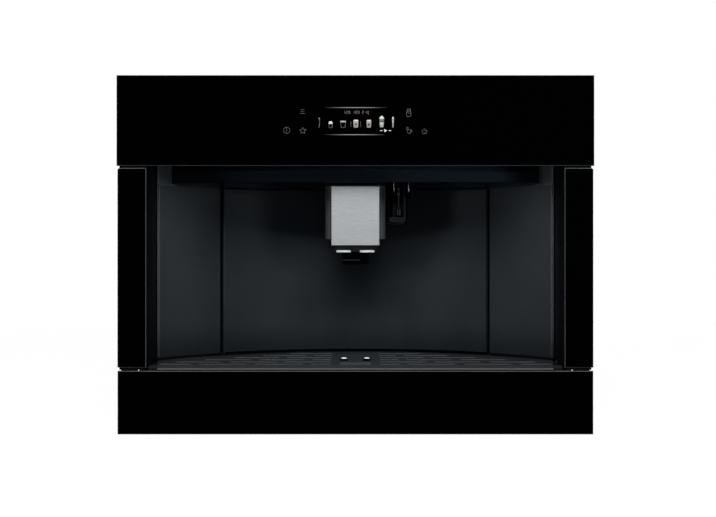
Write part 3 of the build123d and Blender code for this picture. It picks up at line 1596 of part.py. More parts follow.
def pump():
    """Vibration pump with its coil, barrel and outlet, on two rubber feet behind the bay."""
    middle = pump_low + pump_height / 2
    x0, x1 = pump_x - pump_half, pump_x + pump_half
    d0, d1 = rear_middle - pump_half_length, rear_middle + pump_half_length
    body = rounded(block(x0, x1, d0, d1, pump_low, pump_low + pump_height), pump_outlet)
    body += rod_along_y(pump_barrel, pump_x, middle, rear_middle - pump_reach, rear_middle + pump_reach)
    body += rod_along_y(pump_outlet, pump_x, middle, rear_middle - pump_reach - pump_outlet_length,
                        rear_middle - pump_reach + cut)
    for front in (d0 + pump_foot_inset, d1 - pump_foot_inset - pump_foot):
        body += block(x0, x1, front, front + pump_foot, base_top, pump_low + cut)
    return body


boiler_x = -133.0
boiler_half = 37.0
boiler_half_depth = 36.0
boiler_low = 90.0
boiler_height = 100.0
boiler_corner = 16.0
boiler_cap = 6.0
boiler_leg = 4.0
boiler_leg_x = 27.0
boiler_leg_half = 24.0
boiler_pipe = 4.0
boiler_pipe_x = 17.0
boiler_pipe_height = 18.0


def boiler():
    """Cast heater block with a cap and two pipe ends, on a bracket from the base."""
    top = boiler_low + boiler_height
    x0, x1 = boiler_x - boiler_half, boiler_x + boiler_half
    d0, d1 = rear_middle - boiler_half_depth, rear_middle + boiler_half_depth
    body = rounded(block(x0, x1, d0, d1, boiler_low, top), boiler_corner)
    body += rounded(block(x0 + boiler_cap, x1 - boiler_cap, d0 + boiler_cap, d1 - boiler_cap, top,
                          top + boiler_cap), boiler_corner - boiler_leg)
    for way in (-1, 1):
        body += post(boiler_pipe, boiler_x + way * boiler_pipe_x, rear_middle, top + cut,
                     top + boiler_cap + boiler_pipe_height)
        x = boiler_x + way * boiler_leg_x
        body += block(x - boiler_leg / 2, x + boiler_leg / 2, rear_middle - boiler_leg_half,
                      rear_middle + boiler_leg_half, base_top, boiler_low + cut)
    return body


mains_front = 150.0
mains_length = 180.0
mains_low = 120.0
mains_height = 140.0
mains_stand_off = 10.0
mains_post = 3.0
mains_post_inset = 8.0
mains_parts = ((20.0, 20.0, 14.0), (60.0, 20.0, 14.0), (100.0, 30.0, 18.0), (150.0, 110.0, 20.0),
               (40.0, 110.0, 12.0))  # depth and height on the board, size


def power_board():
    """Mains board on the left side cover, with relays and a choke."""
    x = -inside_half + mains_stand_off
    back, high = mains_front + mains_length, mains_low + mains_height
    board = block(x, x + board_thick, mains_front, back, mains_low, high)
    for along, up, size in mains_parts:
        board += block(x + board_thick, x + board_thick + size, mains_front + along - size / 2,
                       mains_front + along + size / 2, mains_low + up - size / 2, mains_low + up + size / 2)
    for depth in (mains_front + mains_post_inset, back - mains_post_inset):
        for z in (mains_low + mains_post_inset, high - mains_post_inset):
            board += rod_along_x(mains_post, depth, z, -inside_half, x + board_thick / 2)
    return board


inlet_fit = 0.2
inlet_depth = 26.0
socket_half = 12.0
socket_offset = 10.0
socket_half_height = 8.0
socket_depth = 20.0
blade_pitch = 7.0
blade_half = 1.0
blade_half_height = 3.0
blade_drop = 5.0
rocker_half = 7.8
rocker_half_height = 8.0
rocker_front = 7.0
rocker_edge = 1.2
rocker_inset = 2.0
well_gap = 0.6
well_gap_height = 1.4
well_depth = 14.0
rocker_pin = 1.2
rocker_pin_reach = 0.4
rocker_x = inlet_x + 14.0
rocker_pin_depth = rear_outside - (rocker_front + rocker_inset) / 2


def power_inlet():
    """Appliance inlet and switch bezel in one block behind the rear cover."""
    back = rear_outside - inlet_fit
    body = block(inlet_x - inlet_half + inlet_fit, inlet_x + inlet_half - inlet_fit, back - inlet_depth, back,
                 inlet_z - inlet_half_height + inlet_fit, inlet_z + inlet_half_height - inlet_fit)
    socket_x = inlet_x - socket_offset
    body -= block(socket_x - socket_half, socket_x + socket_half, back - socket_depth, back + cut,
                  inlet_z - socket_half_height, inlet_z + socket_half_height)
    well_half = rocker_half + well_gap
    well_height = rocker_half_height + well_gap_height
    body -= block(rocker_x - well_half, rocker_x + well_half, back - well_depth, back + cut,
                  inlet_z - well_height, inlet_z + well_height)
    for x in (socket_x - blade_pitch, socket_x, socket_x + blade_pitch):
        body += block(x - blade_half, x + blade_half, back - socket_depth - cut, back - blade_drop,
                      inlet_z - blade_half_height, inlet_z + blade_half_height)
    return body


def main_switch():
    """Rocker that tips about a cross pin inside the bezel."""
    rocker = block(rocker_x - rocker_half, rocker_x + rocker_half, rear_outside - rocker_front,
                   rear_outside - rocker_inset, inlet_z - rocker_half_height, inlet_z + rocker_half_height)
    rocker = fillet(rocker.edges().filter_by(Axis.X), rocker_edge)
    reach = rocker_half + rocker_pin_reach
    return rocker + rod_along_x(rocker_pin, rocker_pin_depth, inlet_z, rocker_x - reach, rocker_x + reach)


# ----------------------------------------------------------- cradle and runners
cradle_front = 42.0
cradle_back_gap = 5.0
cradle_opening = (79.0, 12.0)  # width and corner of one opening in its floor
cradle_opening_pitch = 95.0
cradle_openings = 4
cradle_front_rim = 88.0
cradle_back_rim = 78.0
lip_clear = 2.0
fixing_hole = 3.0
fixing_x = 440.0
fixing_y = 300.0
runner_front = 60.0
runner_back_gap = 19.5
runner_step = 4.0
flange_outer = 8.7
flange_middle = 6.7
runner_back = rear_inside - runner_back_gap


def channel(web, toward, low, high, flange_to, d0, d1):
    """C-shaped runner member: an upright web and two flanges towards the other side."""
    x0, x1 = sorted((web, web + toward * runner_sheet))
    f0, f1 = sorted((web, flange_to))
    return (block(x0, x1, d0, d1, low, high)
            + block(f0, f1, d0, d1, low, low + runner_sheet)
            + block(f0, f1, d0, d1, high - runner_sheet, high))


def runner_outer():
    return both_sides(channel(outer_web, -1, runner_low, runner_high, outer_web - flange_outer,
                              runner_front, runner_back))


def runner_middle():
    rise = runner_sheet + runner_gap
    web = outer_web - rise
    return both_sides(channel(web, -1, runner_low + rise, runner_high - rise, web - flange_middle,
                              runner_front + runner_step, runner_back - runner_step))


def runner_inner():
    rise = 2 * (runner_sheet + runner_gap)
    return both_sides(channel(inner_web, 1, runner_low + rise, runner_high - rise, outer_web - rise,
                              runner_front + runner_step / 2, runner_back - 1.5 * runner_step))


def cradle():
    """Folded steel tray that is screwed to the cabinet floor and holds the outer runners."""
    wall_out = outer_web + cradle_sheet
    back = rear_outside - cradle_back_gap
    floor = block(-wall_out, wall_out, cradle_front, back, 0, cradle_sheet)
    wall = block(outer_web, wall_out, cradle_front, back, 0, runner_high)
    lip = block(inner_web + lip_clear, wall_out, cradle_front, cradle_front + cradle_sheet, 0,
                runner_low - cut)
    tray = floor + wall + mirrored(wall) + lip + mirrored(lip)
    width, corner = cradle_opening
    for i in range(cradle_openings):
        x = (i - (cradle_openings - 1) / 2) * cradle_opening_pitch
        tray -= rounded(block(x - width / 2, x + width / 2, cradle_front + cradle_front_rim,
                              back - cradle_back_rim, -cut, cradle_sheet + cut), corner)
    for x in (-fixing_x / 2, fixing_x / 2):
        for y in (-fixing_y / 2, fixing_y / 2):
            tray -= Pos(x, y, 0) * Cylinder(fixing_hole, 4 * cradle_sheet)
    return tray


# ------------------------------------------------------------------- assembly
keep("control_panel_glass", control_panel_glass())
keep("control_housing", control_housing())
keep("display_module", display_module())
keep("side_panel_right", side_panel())
keep("side_panel_left", mirrored(side_panel()))
keep("front_frame", front_frame())
keep("jambs", both_sides(jamb()))
keep("niche_wing_right", niche_wing())
keep("niche_wing_left", niche_wing_left())
keep("hood_cover", hood_cover())
keep("connector_housing", connector_housing())
keep("steam_nozzle", steam_nozzle())
keep("service_door", service_door())
keep("hinge_pins", hinge_pins())
keep("casing_screws", casing_screws())
keep("spout_column", spout_column())
keep("spout_body", spout_body())
keep("spout_front_plate", spout_front_plate())
keep("spout_nozzle_block", spout_nozzle_block())
keep("spout_lenses", spout_lenses())
keep("drawer_panel_glass", drawer_panel_glass())
keep("drawer_panel_carrier", drawer_panel_carrier())
keep("drip_tray", drip_tray())
keep("drip_grate", drip_grate())
keep("grate_studs", grate_studs())
keep("level_float", level_float())
keep("chassis_base", chassis_base())
keep("upper_deck", upper_deck())
keep("side_cover_left", side_cover_left())
keep("side_cover_right", side_cover_right())
keep("top_cover", top_cover())
keep("rear_cover", rear_cover())
keep("service_bay", service_bay())
keep("grounds_container", grounds_container())
keep("brew_frame", brew_frame())
keep("upper_piston", upper_piston())
keep("brew_chamber", brew_chamber())
keep("lead_screw", lead_screw())
keep("brew_motor", brew_motor())
keep("grinder_housing", grinder_housing())
keep("ring_burr", ring_burr())
keep("cone_burr", cone_burr())
keep("grinder_motor", grinder_motor())
keep("bean_hopper", bean_hopper())
keep("bean_lid", bean_lid())
keep("powder_chute", powder_chute())
keep("powder_lid", powder_lid())
keep("grind_knob", grind_knob())
keep("water_tank", water_tank())
keep("tank_lid", tank_lid())
keep("tank_dock", tank_dock())
keep("pump", pump())
keep("boiler", boiler())
keep("power_board", power_board())
keep("power_inlet", power_inlet())
keep("main_switch", main_switch())
keep("runner_outer", runner_outer())
keep("runner_middle", runner_middle())
keep("runner_inner", runner_inner())
keep("cradle", cradle())

os.makedirs("parts", exist_ok=True)
for name, shape in parts.items():
    export_step(shape, f"parts/{name}.step")
print(len(parts), "parts")
for label, values in (("door hinge", (hinge_x, hinge_y)), ("bean lid", (front_y + bean_hinge, hinge_height)),
                      ("powder lid", (front_y + powder_hinge, hinge_height)),
                      ("grinder and knob", (front_y + grinder_depth,)),
                      ("brewing axis", (front_y + brew_depth,)),
                      ("rocker pin", (rocker_x, front_y + rocker_pin_depth, inlet_z))):
    print(label, [round(value, 4) for value in values])
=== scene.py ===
# %% [markdown]
# # Built-in coffee machine
# The machine's pieces come ready made from its CAD model, at their real size and
# place. What is left for this script is the looks: black glass that shows almost
# no reflection, a dark steel niche, one bright brushed plate on the spout, lit
# icons behind the glass, and the light and camera of a product photograph.

import json
import math

import bpy
import numpy as np
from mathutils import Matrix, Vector


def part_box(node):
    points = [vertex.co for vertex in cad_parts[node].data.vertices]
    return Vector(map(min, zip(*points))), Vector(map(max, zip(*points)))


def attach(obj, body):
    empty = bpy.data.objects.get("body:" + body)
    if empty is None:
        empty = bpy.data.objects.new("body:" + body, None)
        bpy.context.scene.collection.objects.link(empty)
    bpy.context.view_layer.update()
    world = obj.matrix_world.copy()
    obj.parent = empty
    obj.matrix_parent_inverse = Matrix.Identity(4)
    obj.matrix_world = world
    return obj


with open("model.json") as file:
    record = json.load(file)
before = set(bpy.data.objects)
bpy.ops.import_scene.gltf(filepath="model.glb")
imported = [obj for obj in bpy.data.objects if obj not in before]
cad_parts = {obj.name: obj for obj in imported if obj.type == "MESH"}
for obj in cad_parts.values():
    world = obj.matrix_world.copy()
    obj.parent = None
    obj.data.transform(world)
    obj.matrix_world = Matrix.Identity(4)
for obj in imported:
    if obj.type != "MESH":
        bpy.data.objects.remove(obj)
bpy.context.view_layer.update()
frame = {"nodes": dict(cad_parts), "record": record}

# %% [markdown]
# ## Sizes read from the machine
# Everything that is drawn on the glass is placed from the glass itself, so its
# place is read from the frame. The camera's height serves the pieces that are
# coloured by height too.

# %% Read the lengths that the later steps need
PANEL_LOW, PANEL_HIGH = (Vector(corner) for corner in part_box("control_panel_glass"))
FRONT_Y = PANEL_LOW.y
MM = 0.001
EYE_Z = 0.2236  # height of the photograph's camera above the floor
panel_width = PANEL_HIGH.x - PANEL_LOW.x
print("glass front at", round(FRONT_Y, 4), "m, panel width", round(panel_width, 4), "m")

# %% [markdown]
# ## A small language for materials
# Blender's materials are graphs. Written as plain calls they soon become hard to
# read, so one class wraps a socket and lets Python's own operators add the Math
# nodes: `dust * 0.1 + 0.04` builds two nodes and returns the last output.

# %% Wrap a shader socket so that it can be used in arithmetic
class Signal:
    """An output socket of a node, or a value on its way to one."""

    def __init__(self, finish, socket):
        self.finish = finish
        self.socket = socket

    def math(self, operation, *values):
        inputs = dict(enumerate(values))
        return self.finish.node("ShaderNodeMath", {"operation": operation}, inputs)

    def __add__(self, other):
        return self.math("ADD", self, other)

    __radd__ = __add__

    def __sub__(self, other):
        return self.math("SUBTRACT", self, other)

    def __rsub__(self, other):
        return self.math("SUBTRACT", other, self)

    def __mul__(self, other):
        return self.math("MULTIPLY", self, other)

    __rmul__ = __mul__

    def size(self):
        """The value without its sign."""
        return self.math("ABSOLUTE", self)

    def either(self, other):
        """The larger of two masks: 1 where one of them is."""
        return self.math("MAXIMUM", self, other)

    def over(self, limit):
        """1 where the value is above the limit and 0 elsewhere."""
        return self.math("GREATER_THAN", self, limit)

    def between(self, low, high, to_low=0.0, to_high=1.0):
        """The value carried from one range to another, smoothly and clamped."""
        inputs = {"Value": self, "From Min": low, "From Max": high,
                  "To Min": to_low, "To Max": to_high}
        return self.finish.node("ShaderNodeMapRange", {"interpolation_type": "SMOOTHSTEP"}, inputs)


# %% [markdown]
# A finish is one material. Its constant numbers, such as the metallic amount, sit
# on the shader's own sockets. Only what changes over the surface gets a node.

# %% Build a node tree from named steps
class Graph:
    """A node tree written as calls."""

    def __init__(self, tree):
        self.tree = tree

    def plug(self, value, socket):
        if isinstance(value, Signal):
            self.tree.links.new(value.socket, socket)
        else:
            socket.default_value = value

    def node(self, kind, settings=None, inputs=None, output=0):
        """Add a node: its settings first, then the values or links of its sockets."""
        added = self.tree.nodes.new(kind)
        for name, value in (settings or {}).items():
            setattr(added, name, value)
        for name, value in (inputs or {}).items():
            self.plug(value, added.inputs[name])
        return Signal(self, added.outputs[output])

    def tint(self, amount, low, high):
        """A colour between two colours, by an amount from 0 to 1."""
        mixed = self.node("ShaderNodeMix", {"data_type": "RGBA"}, {"Factor": amount}, output=2)
        sockets = mixed.socket.node.inputs
        for socket, color in ((sockets[6], low), (sockets[7], high)):
            self.plug(color if isinstance(color, Signal) else (*color, 1.0), socket)
        return mixed


# %% A material is such a tree with a Principled shader
class Finish(Graph):
    """One procedural material."""

    def __init__(self, name, color, roughness, **constants):
        self.material = bpy.data.materials.new(name)
        self.material.use_nodes = True
        super().__init__(self.material.node_tree)
        self.shader = self.tree.nodes["Principled BSDF"]
        self.set("Base Color", (*color, 1.0))
        self.set("Roughness", roughness)
        for socket, value in constants.items():
            self.set(socket.replace("_", " "), value)
        self.material.diffuse_color = (*color, 1.0)

    def set(self, socket, value):
        self.plug(value, self.shader.inputs[socket])

    def place(self, stretch=(1.0, 1.0, 1.0)):
        """Object coordinates, which are metres on this machine, scaled per axis."""
        where = self.node("ShaderNodeTexCoord", output="Object")
        return self.node("ShaderNodeMapping", inputs={"Vector": where, "Scale": stretch})

    def noise(self, scale, detail=3.0, stretch=(1.0, 1.0, 1.0)):
        """Soft random values about 0.5, with `scale` features to the metre."""
        inputs = {"Vector": self.place(stretch), "Scale": scale, "Detail": detail}
        return self.node("ShaderNodeTexNoise", inputs=inputs)

    def cells(self, scale):
        """A random value for each cell of a Voronoi pattern."""
        inputs = {"Vector": self.place(), "Scale": scale}
        colour = self.node("ShaderNodeTexVoronoi", inputs=inputs, output="Color")
        return self.node("ShaderNodeSeparateColor", inputs={"Color": colour})

    def axis(self, name):
        """One of the object coordinates, in metres."""
        where = self.node("ShaderNodeTexCoord", output="Object")
        return self.node("ShaderNodeSeparateXYZ", inputs={"Vector": where}, output=name)

    def normal(self, name):
        """How far the surface faces along one axis of the machine, from -1 to 1."""
        normal = self.node("ShaderNodeTexCoord", output="Normal")
        return self.node("ShaderNodeSeparateXYZ", inputs={"Vector": normal}, output=name)

    def facing(self, name):
        """The same without its sign, from 0 to 1."""
        return self.normal(name).size()

    def bump(self, height, strength, depth):
        """Small relief in the normal, `depth` metres for a height of 1."""
        inputs = {"Height": height, "Strength": strength, "Distance": depth}
        self.set("Normal", self.node("ShaderNodeBump", inputs=inputs))
        return self


def grey(level):
    """A neutral colour."""
    return (level, level, level)


finishes = {}
print("material helpers ready")

# %% [markdown]
# ## Black glass
# The front is back-printed float glass. Its face is a polished black, and only the
# ground bevels round it catch a thin line of light; their grey is painted paler where
# they face up, which is painted light from above. The bevel is found from the surface
# normal: it stands halfway between the face, which looks along Y, and the sawn edge,
# which looks across it and stays black.

# %% Black glass with ground edges
def black_glass():
    """Polished black with smears in the roughness; its bevels are ground, with painted light that
    makes them paler where they face up.
    """
    finish = Finish("black_glass", grey(0.0001), 0.04, Specular_IOR_Level=0.02)
    turned = finish.facing("Y")
    bevel = turned.between(0.30, 0.50) * turned.between(0.97, 0.90)
    smears = finish.noise(9.0, 4.0, (1.0, 1.0, 2.5)).between(0.45, 0.75)
    finish.set("Roughness", smears * 0.05 + 0.035 + bevel * 0.3)
    # painted light: the ground bevels are paler where they face up
    bevel_painted_light = finish.normal("Z").between(-0.6, 0.6)
    ground = finish.tint(bevel_painted_light, (0.026, 0.028, 0.031), (0.060, 0.063, 0.068))
    finish.set("Base Color", finish.tint(bevel, grey(0.0001), ground))
    return finish


finishes["black_glass"] = black_glass()
print("black glass made")

# %% [markdown]
# ## Dark steel of the niche
# The curved wall, both its wings and its door, is steel with a thin dark coat. It
# keeps a very fine upright grain from rolling and a cloudy sheen a few centimetres
# wide, which is what makes it read as metal and not as paint. The three pieces share
# one finish, so masks by height and by distance from the middle tell the bead at the
# outer edges, the corners beyond the hood and the foot apart. Light and shade are
# painted there: a painted highlight on the bead, painted light in the corners, and
# painted shade towards the foot, at the foot, past the bead and in the seams.

# %% Dark coated steel
WALL_RADIUS = 0.367
WALL_AXIS_Y = FRONT_Y - 0.1946
WALL_DARK, WALL_LIGHT = (0.0195, 0.0236, 0.0278), (0.0325, 0.0380, 0.0425)
WALL_SKIN = 3.5 * MM                # coated depth behind the wall's surface
WALL_FOOT = 0.0898                  # black below this height: a painted shadow line along the foot
# painted shade: the coat darkens over this height above the foot, by this amount
FOOT_SHADE, FOOT_AMOUNT = 0.045, 0.62
HIGHLIGHT_BEAD_X, SHADED_RETURN_X = 0.2583, 0.2613      # painted highlight on the bead between them, painted shade beyond
LIT_CORNER_X = 0.2385                   # painted light in the wall's top corners beyond the hood's ends
LIT_CORNER_HEIGHTS = (0.3165, 0.3195)
# painted shade: black bands this wide in both seams
SEAM_EDGES = (-0.1863, 0.1819)
SEAM_HALF = 0.8 * MM


def dark_steel():
    """Coat of the wall in front, bare black behind it, and painted shade at its foot, past the bead
    and in the seams.

    The coat carries a painted highlight on the bead at the outer edges, painted light
    in the two top corners, and painted shade that darkens it towards the foot. The back
    is where the squared distance from the wall's own axis is more than the squared
    radius of its skin.
    """
    finish = Finish("dark_steel", WALL_LIGHT, 0.42, Metallic=0.85, Specular_IOR_Level=0.3)
    grain = finish.noise(900.0, 2.0, (1.0, 1.0, 0.02))
    cloud = finish.noise(14.0, 2.0, (1.0, 1.0, 0.6))
    shade = cloud.between(0.3, 0.7) * 0.35 + grain * 0.3 + 0.15
    across, deep = finish.axis("X"), finish.axis("Y") - WALL_AXIS_Y
    behind = (across * across + deep * deep).over((WALL_RADIUS + WALL_SKIN) ** 2)
    height, reach = finish.axis("Z"), across.size()
    foot = 1.0 - height.over(WALL_FOOT)
    plain = finish.tint(shade, WALL_DARK, WALL_LIGHT)
    # painted highlight: the bead at the outer edges is brighter
    coat = finish.tint(reach.over(HIGHLIGHT_BEAD_X), plain, (0.088, 0.092, 0.095))
    # painted light: the two top corners beyond the hood are much brighter
    corner = reach.over(LIT_CORNER_X) * height.between(*LIT_CORNER_HEIGHTS)
    coat = finish.tint(corner, coat, (0.21, 0.24, 0.27))
    # painted shade: the coat darkens towards the foot
    painted_foot_shade = height.between(WALL_FOOT + FOOT_SHADE, WALL_FOOT) * FOOT_AMOUNT
    coat = finish.tint(painted_foot_shade, coat, (0.004, 0.006, 0.008))
    # black where the wall is bare behind its skin, and painted shade at the foot, past the bead and
    # in the seams
    bare_and_painted_shade = behind.either(foot).either(reach.over(SHADED_RETURN_X))
    for seam in SEAM_EDGES:
        bare_and_painted_shade = bare_and_painted_shade.either(1.0 - (across - seam).size().over(SEAM_HALF))
    finish.set("Base Color", finish.tint(bare_and_painted_shade, coat, (0.0012, 0.0018, 0.0026)))
    finish.set("Roughness", grain * 0.16 + cloud * 0.08 + 0.32)
    return finish.bump(grain, 0.25, 0.00002)


finishes["dark_steel"] = dark_steel()
print("dark steel made")

# %% [markdown]
# ## Gloss and grained plastics
# The hood and the jambs are polished black plastic. The spout's housing and the
# inner parts have the fine spark-eroded grain of a moulding tool, drawn with two
# sizes of noise: pits well under a millimetre and slow waves from the mould. Some
# pieces carry a second tone in a strip that is found by place on the machine. On the
# hood that strip is a painted sheen, on the nozzle block and under the rail over the
# niche a painted highlight, and beside the spout's plate painted light from the plate.

# %% Plastics
HOOD_BLACK, HOOD_PAINTED_SHEEN = (0.0003, 0.0005, 0.0007), (0.0038, 0.0062, 0.0095)
HOOD_STRIP_HEIGHTS = (0.3315, 0.3345)   # the painted sheen right under the control panel
HOOD_STRIP_GROWTH = (-0.20, 0.12, 0.12, 1.0)
HOOD_STRIP_ENDS = ((-0.20, -0.17), (0.20, 0.18))
GUARD_BAR_TOP = EYE_Z + 0.0512
GUARD_COVER_Y = FRONT_Y + 0.155         # the cover in the wall lies behind this
NOZZLE_BLACK = (0.0001, 0.0002, 0.0004)
NOZZLE_GLINT_Z = EYE_Z - 0.0052
NOZZLE_GLINT_EDGES, NOZZLE_GLINT_END = (0.7 * MM, 0.3 * MM), (8 * MM, 4 * MM)
COLUMN_BESIDE_PLATE = (0.0375, 0.0335)
FRAME_BLACK = (0.0012, 0.0014, 0.0020)
FRAME_RAIL_Z = 0.30                     # the rail over the niche is above this


def gloss_plastic(name, color, roughness=0.12, shine=0.5):
    """Polished moulding with haze in the roughness and slow waves in the normal."""
    finish = Finish(name, color, roughness, Specular_IOR_Level=shine)
    waves = finish.noise(18.0, 2.0)
    haze = finish.noise(60.0, 4.0).between(0.4, 0.7)
    finish.set("Roughness", haze * 0.06 + roughness)
    return finish.bump(waves, 0.12, 0.0004)


def grained_plastic(name, color, roughness=0.5, shine=0.4):
    """Eroded grain, a third lighter where it is worn."""
    finish = Finish(name, color, roughness, Specular_IOR_Level=shine)
    pits = finish.noise(2600.0, 2.0)
    wear = finish.noise(35.0, 4.0).between(0.35, 0.75)
    lighter = tuple(min(1.0, value * 1.35 + 0.004) for value in color)
    finish.set("Base Color", finish.tint(wear * 0.6 + pits * 0.3, color, lighter))
    finish.set("Roughness", wear * 0.12 + roughness - 0.04)
    return finish.bump(pits, 0.35, 0.00006)


def hood_plastic():
    """Polished, softer underneath, so that the wall's mirror image blurs there.

    A painted sheen, a paler strip along its top, grows to the right and fades out at both ends.
    """
    finish = gloss_plastic("hood_plastic", HOOD_BLACK, 0.08)
    finish.set("Roughness", finish.facing("Z").between(0.3, 0.9) * 0.12 + 0.08)
    # painted sheen: a paler strip along the top, brighter to the right
    growth = finish.axis("X").between(*HOOD_STRIP_GROWTH)
    strip = finish.axis("Z").between(*HOOD_STRIP_HEIGHTS) * growth
    for fade in HOOD_STRIP_ENDS:
        strip = strip * finish.axis("X").between(*fade)
    finish.set("Base Color", finish.tint(strip, HOOD_BLACK, HOOD_PAINTED_SHEEN))
    return finish


def guard_plastic():
    """Black guard with a lighter bar below, and its wall cover coated like the wall."""
    finish = grained_plastic("guard_plastic", (0.0006, 0.0007, 0.0012), 0.45, 0.12)
    bar = 1.0 - finish.axis("Z").over(GUARD_BAR_TOP)
    cover = finish.axis("Y").over(GUARD_COVER_Y)
    paint = finish.tint(bar, (0.0004, 0.0005, 0.0009), (0.0008, 0.0010, 0.0017))
    finish.set("Base Color", finish.tint(cover, paint, (0.055, 0.063, 0.072)))
    finish.set("Metallic", cover * 0.85)
    return finish


def nozzle_plastic():
    """Soft gloss black with one thin painted highlight, a bright line across it."""
    finish = gloss_plastic("nozzle_plastic", NOZZLE_BLACK, 0.25, 0.02)
    # painted highlight: a thin bright line at one height
    line = (finish.axis("Z") - NOZZLE_GLINT_Z).size().between(*NOZZLE_GLINT_EDGES)
    line = line * finish.axis("X").between(*NOZZLE_GLINT_END)
    finish.set("Base Color", finish.tint(line, NOZZLE_BLACK, (0.020, 0.021, 0.023)))
    return finish


def column_plastic():
    """Satin grey, paler beside the steel plate, whose light falls on it."""
    finish = grained_plastic("column_plastic", (0.0072, 0.0080, 0.0092), 0.42, 0.3)
    beside = finish.axis("X").size().between(*COLUMN_BESIDE_PLATE)
    paint = finish.tint(beside, (0.0080, 0.0088, 0.0100), (0.034, 0.036, 0.039))
    finish.set("Base Color", paint)
    return finish


def frame_plastic():
    """Black frame whose rail over the niche has a pale strip underneath, a painted highlight."""
    finish = grained_plastic("frame_plastic", FRAME_BLACK, 0.45, 0.15)
    # painted highlight on the downward faces of the rail over the niche
    under = finish.normal("Z").between(-0.6, -0.8) * finish.axis("Z").over(FRAME_RAIL_Z)
    finish.set("Base Color", finish.tint(under, FRAME_BLACK, (0.13, 0.14, 0.16)))
    return finish


finishes["gloss_black"] = gloss_plastic("gloss_black", (0.0010, 0.0018, 0.0030), 0.3, 0.12)
finishes["hood_plastic"] = hood_plastic()
finishes["spout_plastic"] = grained_plastic("spout_plastic", (0.0034, 0.0044, 0.0054), 0.42, 0.25)
finishes["column_plastic"] = column_plastic()
finishes["tray_plastic"] = grained_plastic("tray_plastic", (0.0007, 0.0010, 0.0020), 0.5, 0.1)
finishes["nozzle_plastic"] = nozzle_plastic()
finishes["guard_plastic"] = guard_plastic()
finishes["frame_plastic"] = frame_plastic()
finishes["bay_plastic"] = grained_plastic("bay_plastic", (0.0030, 0.0032, 0.0036), 0.6, 0.1)
finishes["black_plastic"] = grained_plastic("black_plastic", (0.010, 0.011, 0.012))
finishes["grey_plastic"] = grained_plastic("grey_plastic", (0.075, 0.078, 0.082))
finishes["white_plastic"] = grained_plastic("white_plastic", (0.72, 0.72, 0.69), 0.38)
finishes["foam_red"] = gloss_plastic("foam_red", (0.42, 0.022, 0.016), 0.25)
print("plastics made")

# %% [markdown]
# ## Brushed steel, chrome with a painted shadow, and sheet metal
# Brushing leaves long shallow scratches in one direction. Noise that is squeezed
# hard across that direction gives them, once in the colour, once in the roughness
# and once in the bump. Galvanised sheet instead shows spangle: flat crystals a few
# millimetres wide, each a little lighter or darker, which is one Voronoi pattern.

# %% Metals
# chrome darkened as painted shadow, for the steam stem
SHADED_STEM_CHROME = (0.032, 0.032, 0.036)
STEM_X = sum(corner[0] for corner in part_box("steam_nozzle")) / 2
PIN_OFFSET = 7.5 * MM               # contact pins stand farther than this from the stem
STUD_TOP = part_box("grate_studs")[1][2]
STUD_SHADE_LINE = STUD_TOP - 1.4 * MM     # painted highlight above, painted shade below
STUD_X = 15.0 * MM
STUD_LIT_EDGE = (5.1 * MM, 4.5 * MM)


def brushed_steel():
    """Fine and coarse scratches along X, in the colour, the roughness and the normal."""
    finish = Finish("brushed_steel", grey(0.55), 0.38, Metallic=0.75)
    fine = finish.noise(5200.0, 2.0, (0.02, 0.2, 1.0))
    coarse = finish.noise(1100.0, 3.0, (0.10, 0.2, 1.0))
    scratch = fine * 0.55 + coarse * 0.45
    tone = finish.tint(scratch.between(0.32, 0.68), (0.235, 0.243, 0.249), (0.300, 0.306, 0.310))
    finish.set("Base Color", tone)
    finish.set("Roughness", scratch * 0.25 + 0.42)
    return finish.bump(scratch, 0.2, 0.00003)


def galvanised():
    """Spangle from one random value per cell, with slow stains over it."""
    finish = Finish("galvanised", grey(0.42), 0.42, Metallic=0.8)
    spangle = finish.cells(170.0)
    stain = finish.noise(7.0, 5.0).between(0.35, 0.75)
    shade = spangle * 0.55 + stain * 0.35
    finish.set("Base Color", finish.tint(shade, (0.33, 0.34, 0.35), (0.56, 0.57, 0.58)))
    finish.set("Roughness", spangle * 0.16 + stain * 0.1 + 0.30)
    return finish.bump(finish.noise(500.0, 3.0), 0.15, 0.00005)


def cast_aluminium():
    """Sand-cast skin: one noise for the tone and for the relief."""
    finish = Finish("cast_aluminium", grey(0.55), 0.5, Metallic=0.85)
    sand = finish.noise(900.0, 4.0)
    finish.set("Base Color", finish.tint(sand, (0.42, 0.42, 0.43), (0.66, 0.66, 0.67)))
    return finish.bump(sand, 0.6, 0.0002)


def dark_chrome():
    """Chrome, darkened on the steam stem as painted shadow; contact pins and hinge pins are bright.
    """
    finish = Finish("dark_chrome", SHADED_STEM_CHROME, 0.25, Metallic=1.0)
    pins = (finish.axis("X") - STEM_X).size().over(PIN_OFFSET)
    finish.set("Base Color", finish.tint(pins, SHADED_STEM_CHROME, (0.32, 0.33, 0.35)))
    finish.set("Roughness", finish.noise(160.0, 3.0).between(0.4, 0.8) * 0.12 + 0.16)
    return finish


def stud_steel():
    """The stud that the cup stands on, 2.6 mm high: a painted highlight makes its top a pale satin,
    and painted shade makes the rest black.
    """
    finish = Finish("stud_steel", grey(0.85), 0.35, Metallic=0.25)
    off = finish.axis("X").size() - STUD_X
    # painted highlight on the top, painted shade below and round it
    painted_lit_top = finish.axis("Z").between(STUD_SHADE_LINE, STUD_SHADE_LINE + 0.2 * MM)
    painted_lit_top = painted_lit_top * off.size().between(*STUD_LIT_EDGE)
    scuffs = finish.noise(700.0, 3.0).between(0.35, 0.7)
    satin = finish.tint(scuffs, grey(0.78), grey(0.92))
    finish.set("Base Color", finish.tint(painted_lit_top, grey(0.002), satin))
    finish.set("Metallic", 1.0 - painted_lit_top * 0.75)
    finish.set("Roughness", scuffs * 0.15 + 0.28)
    return finish


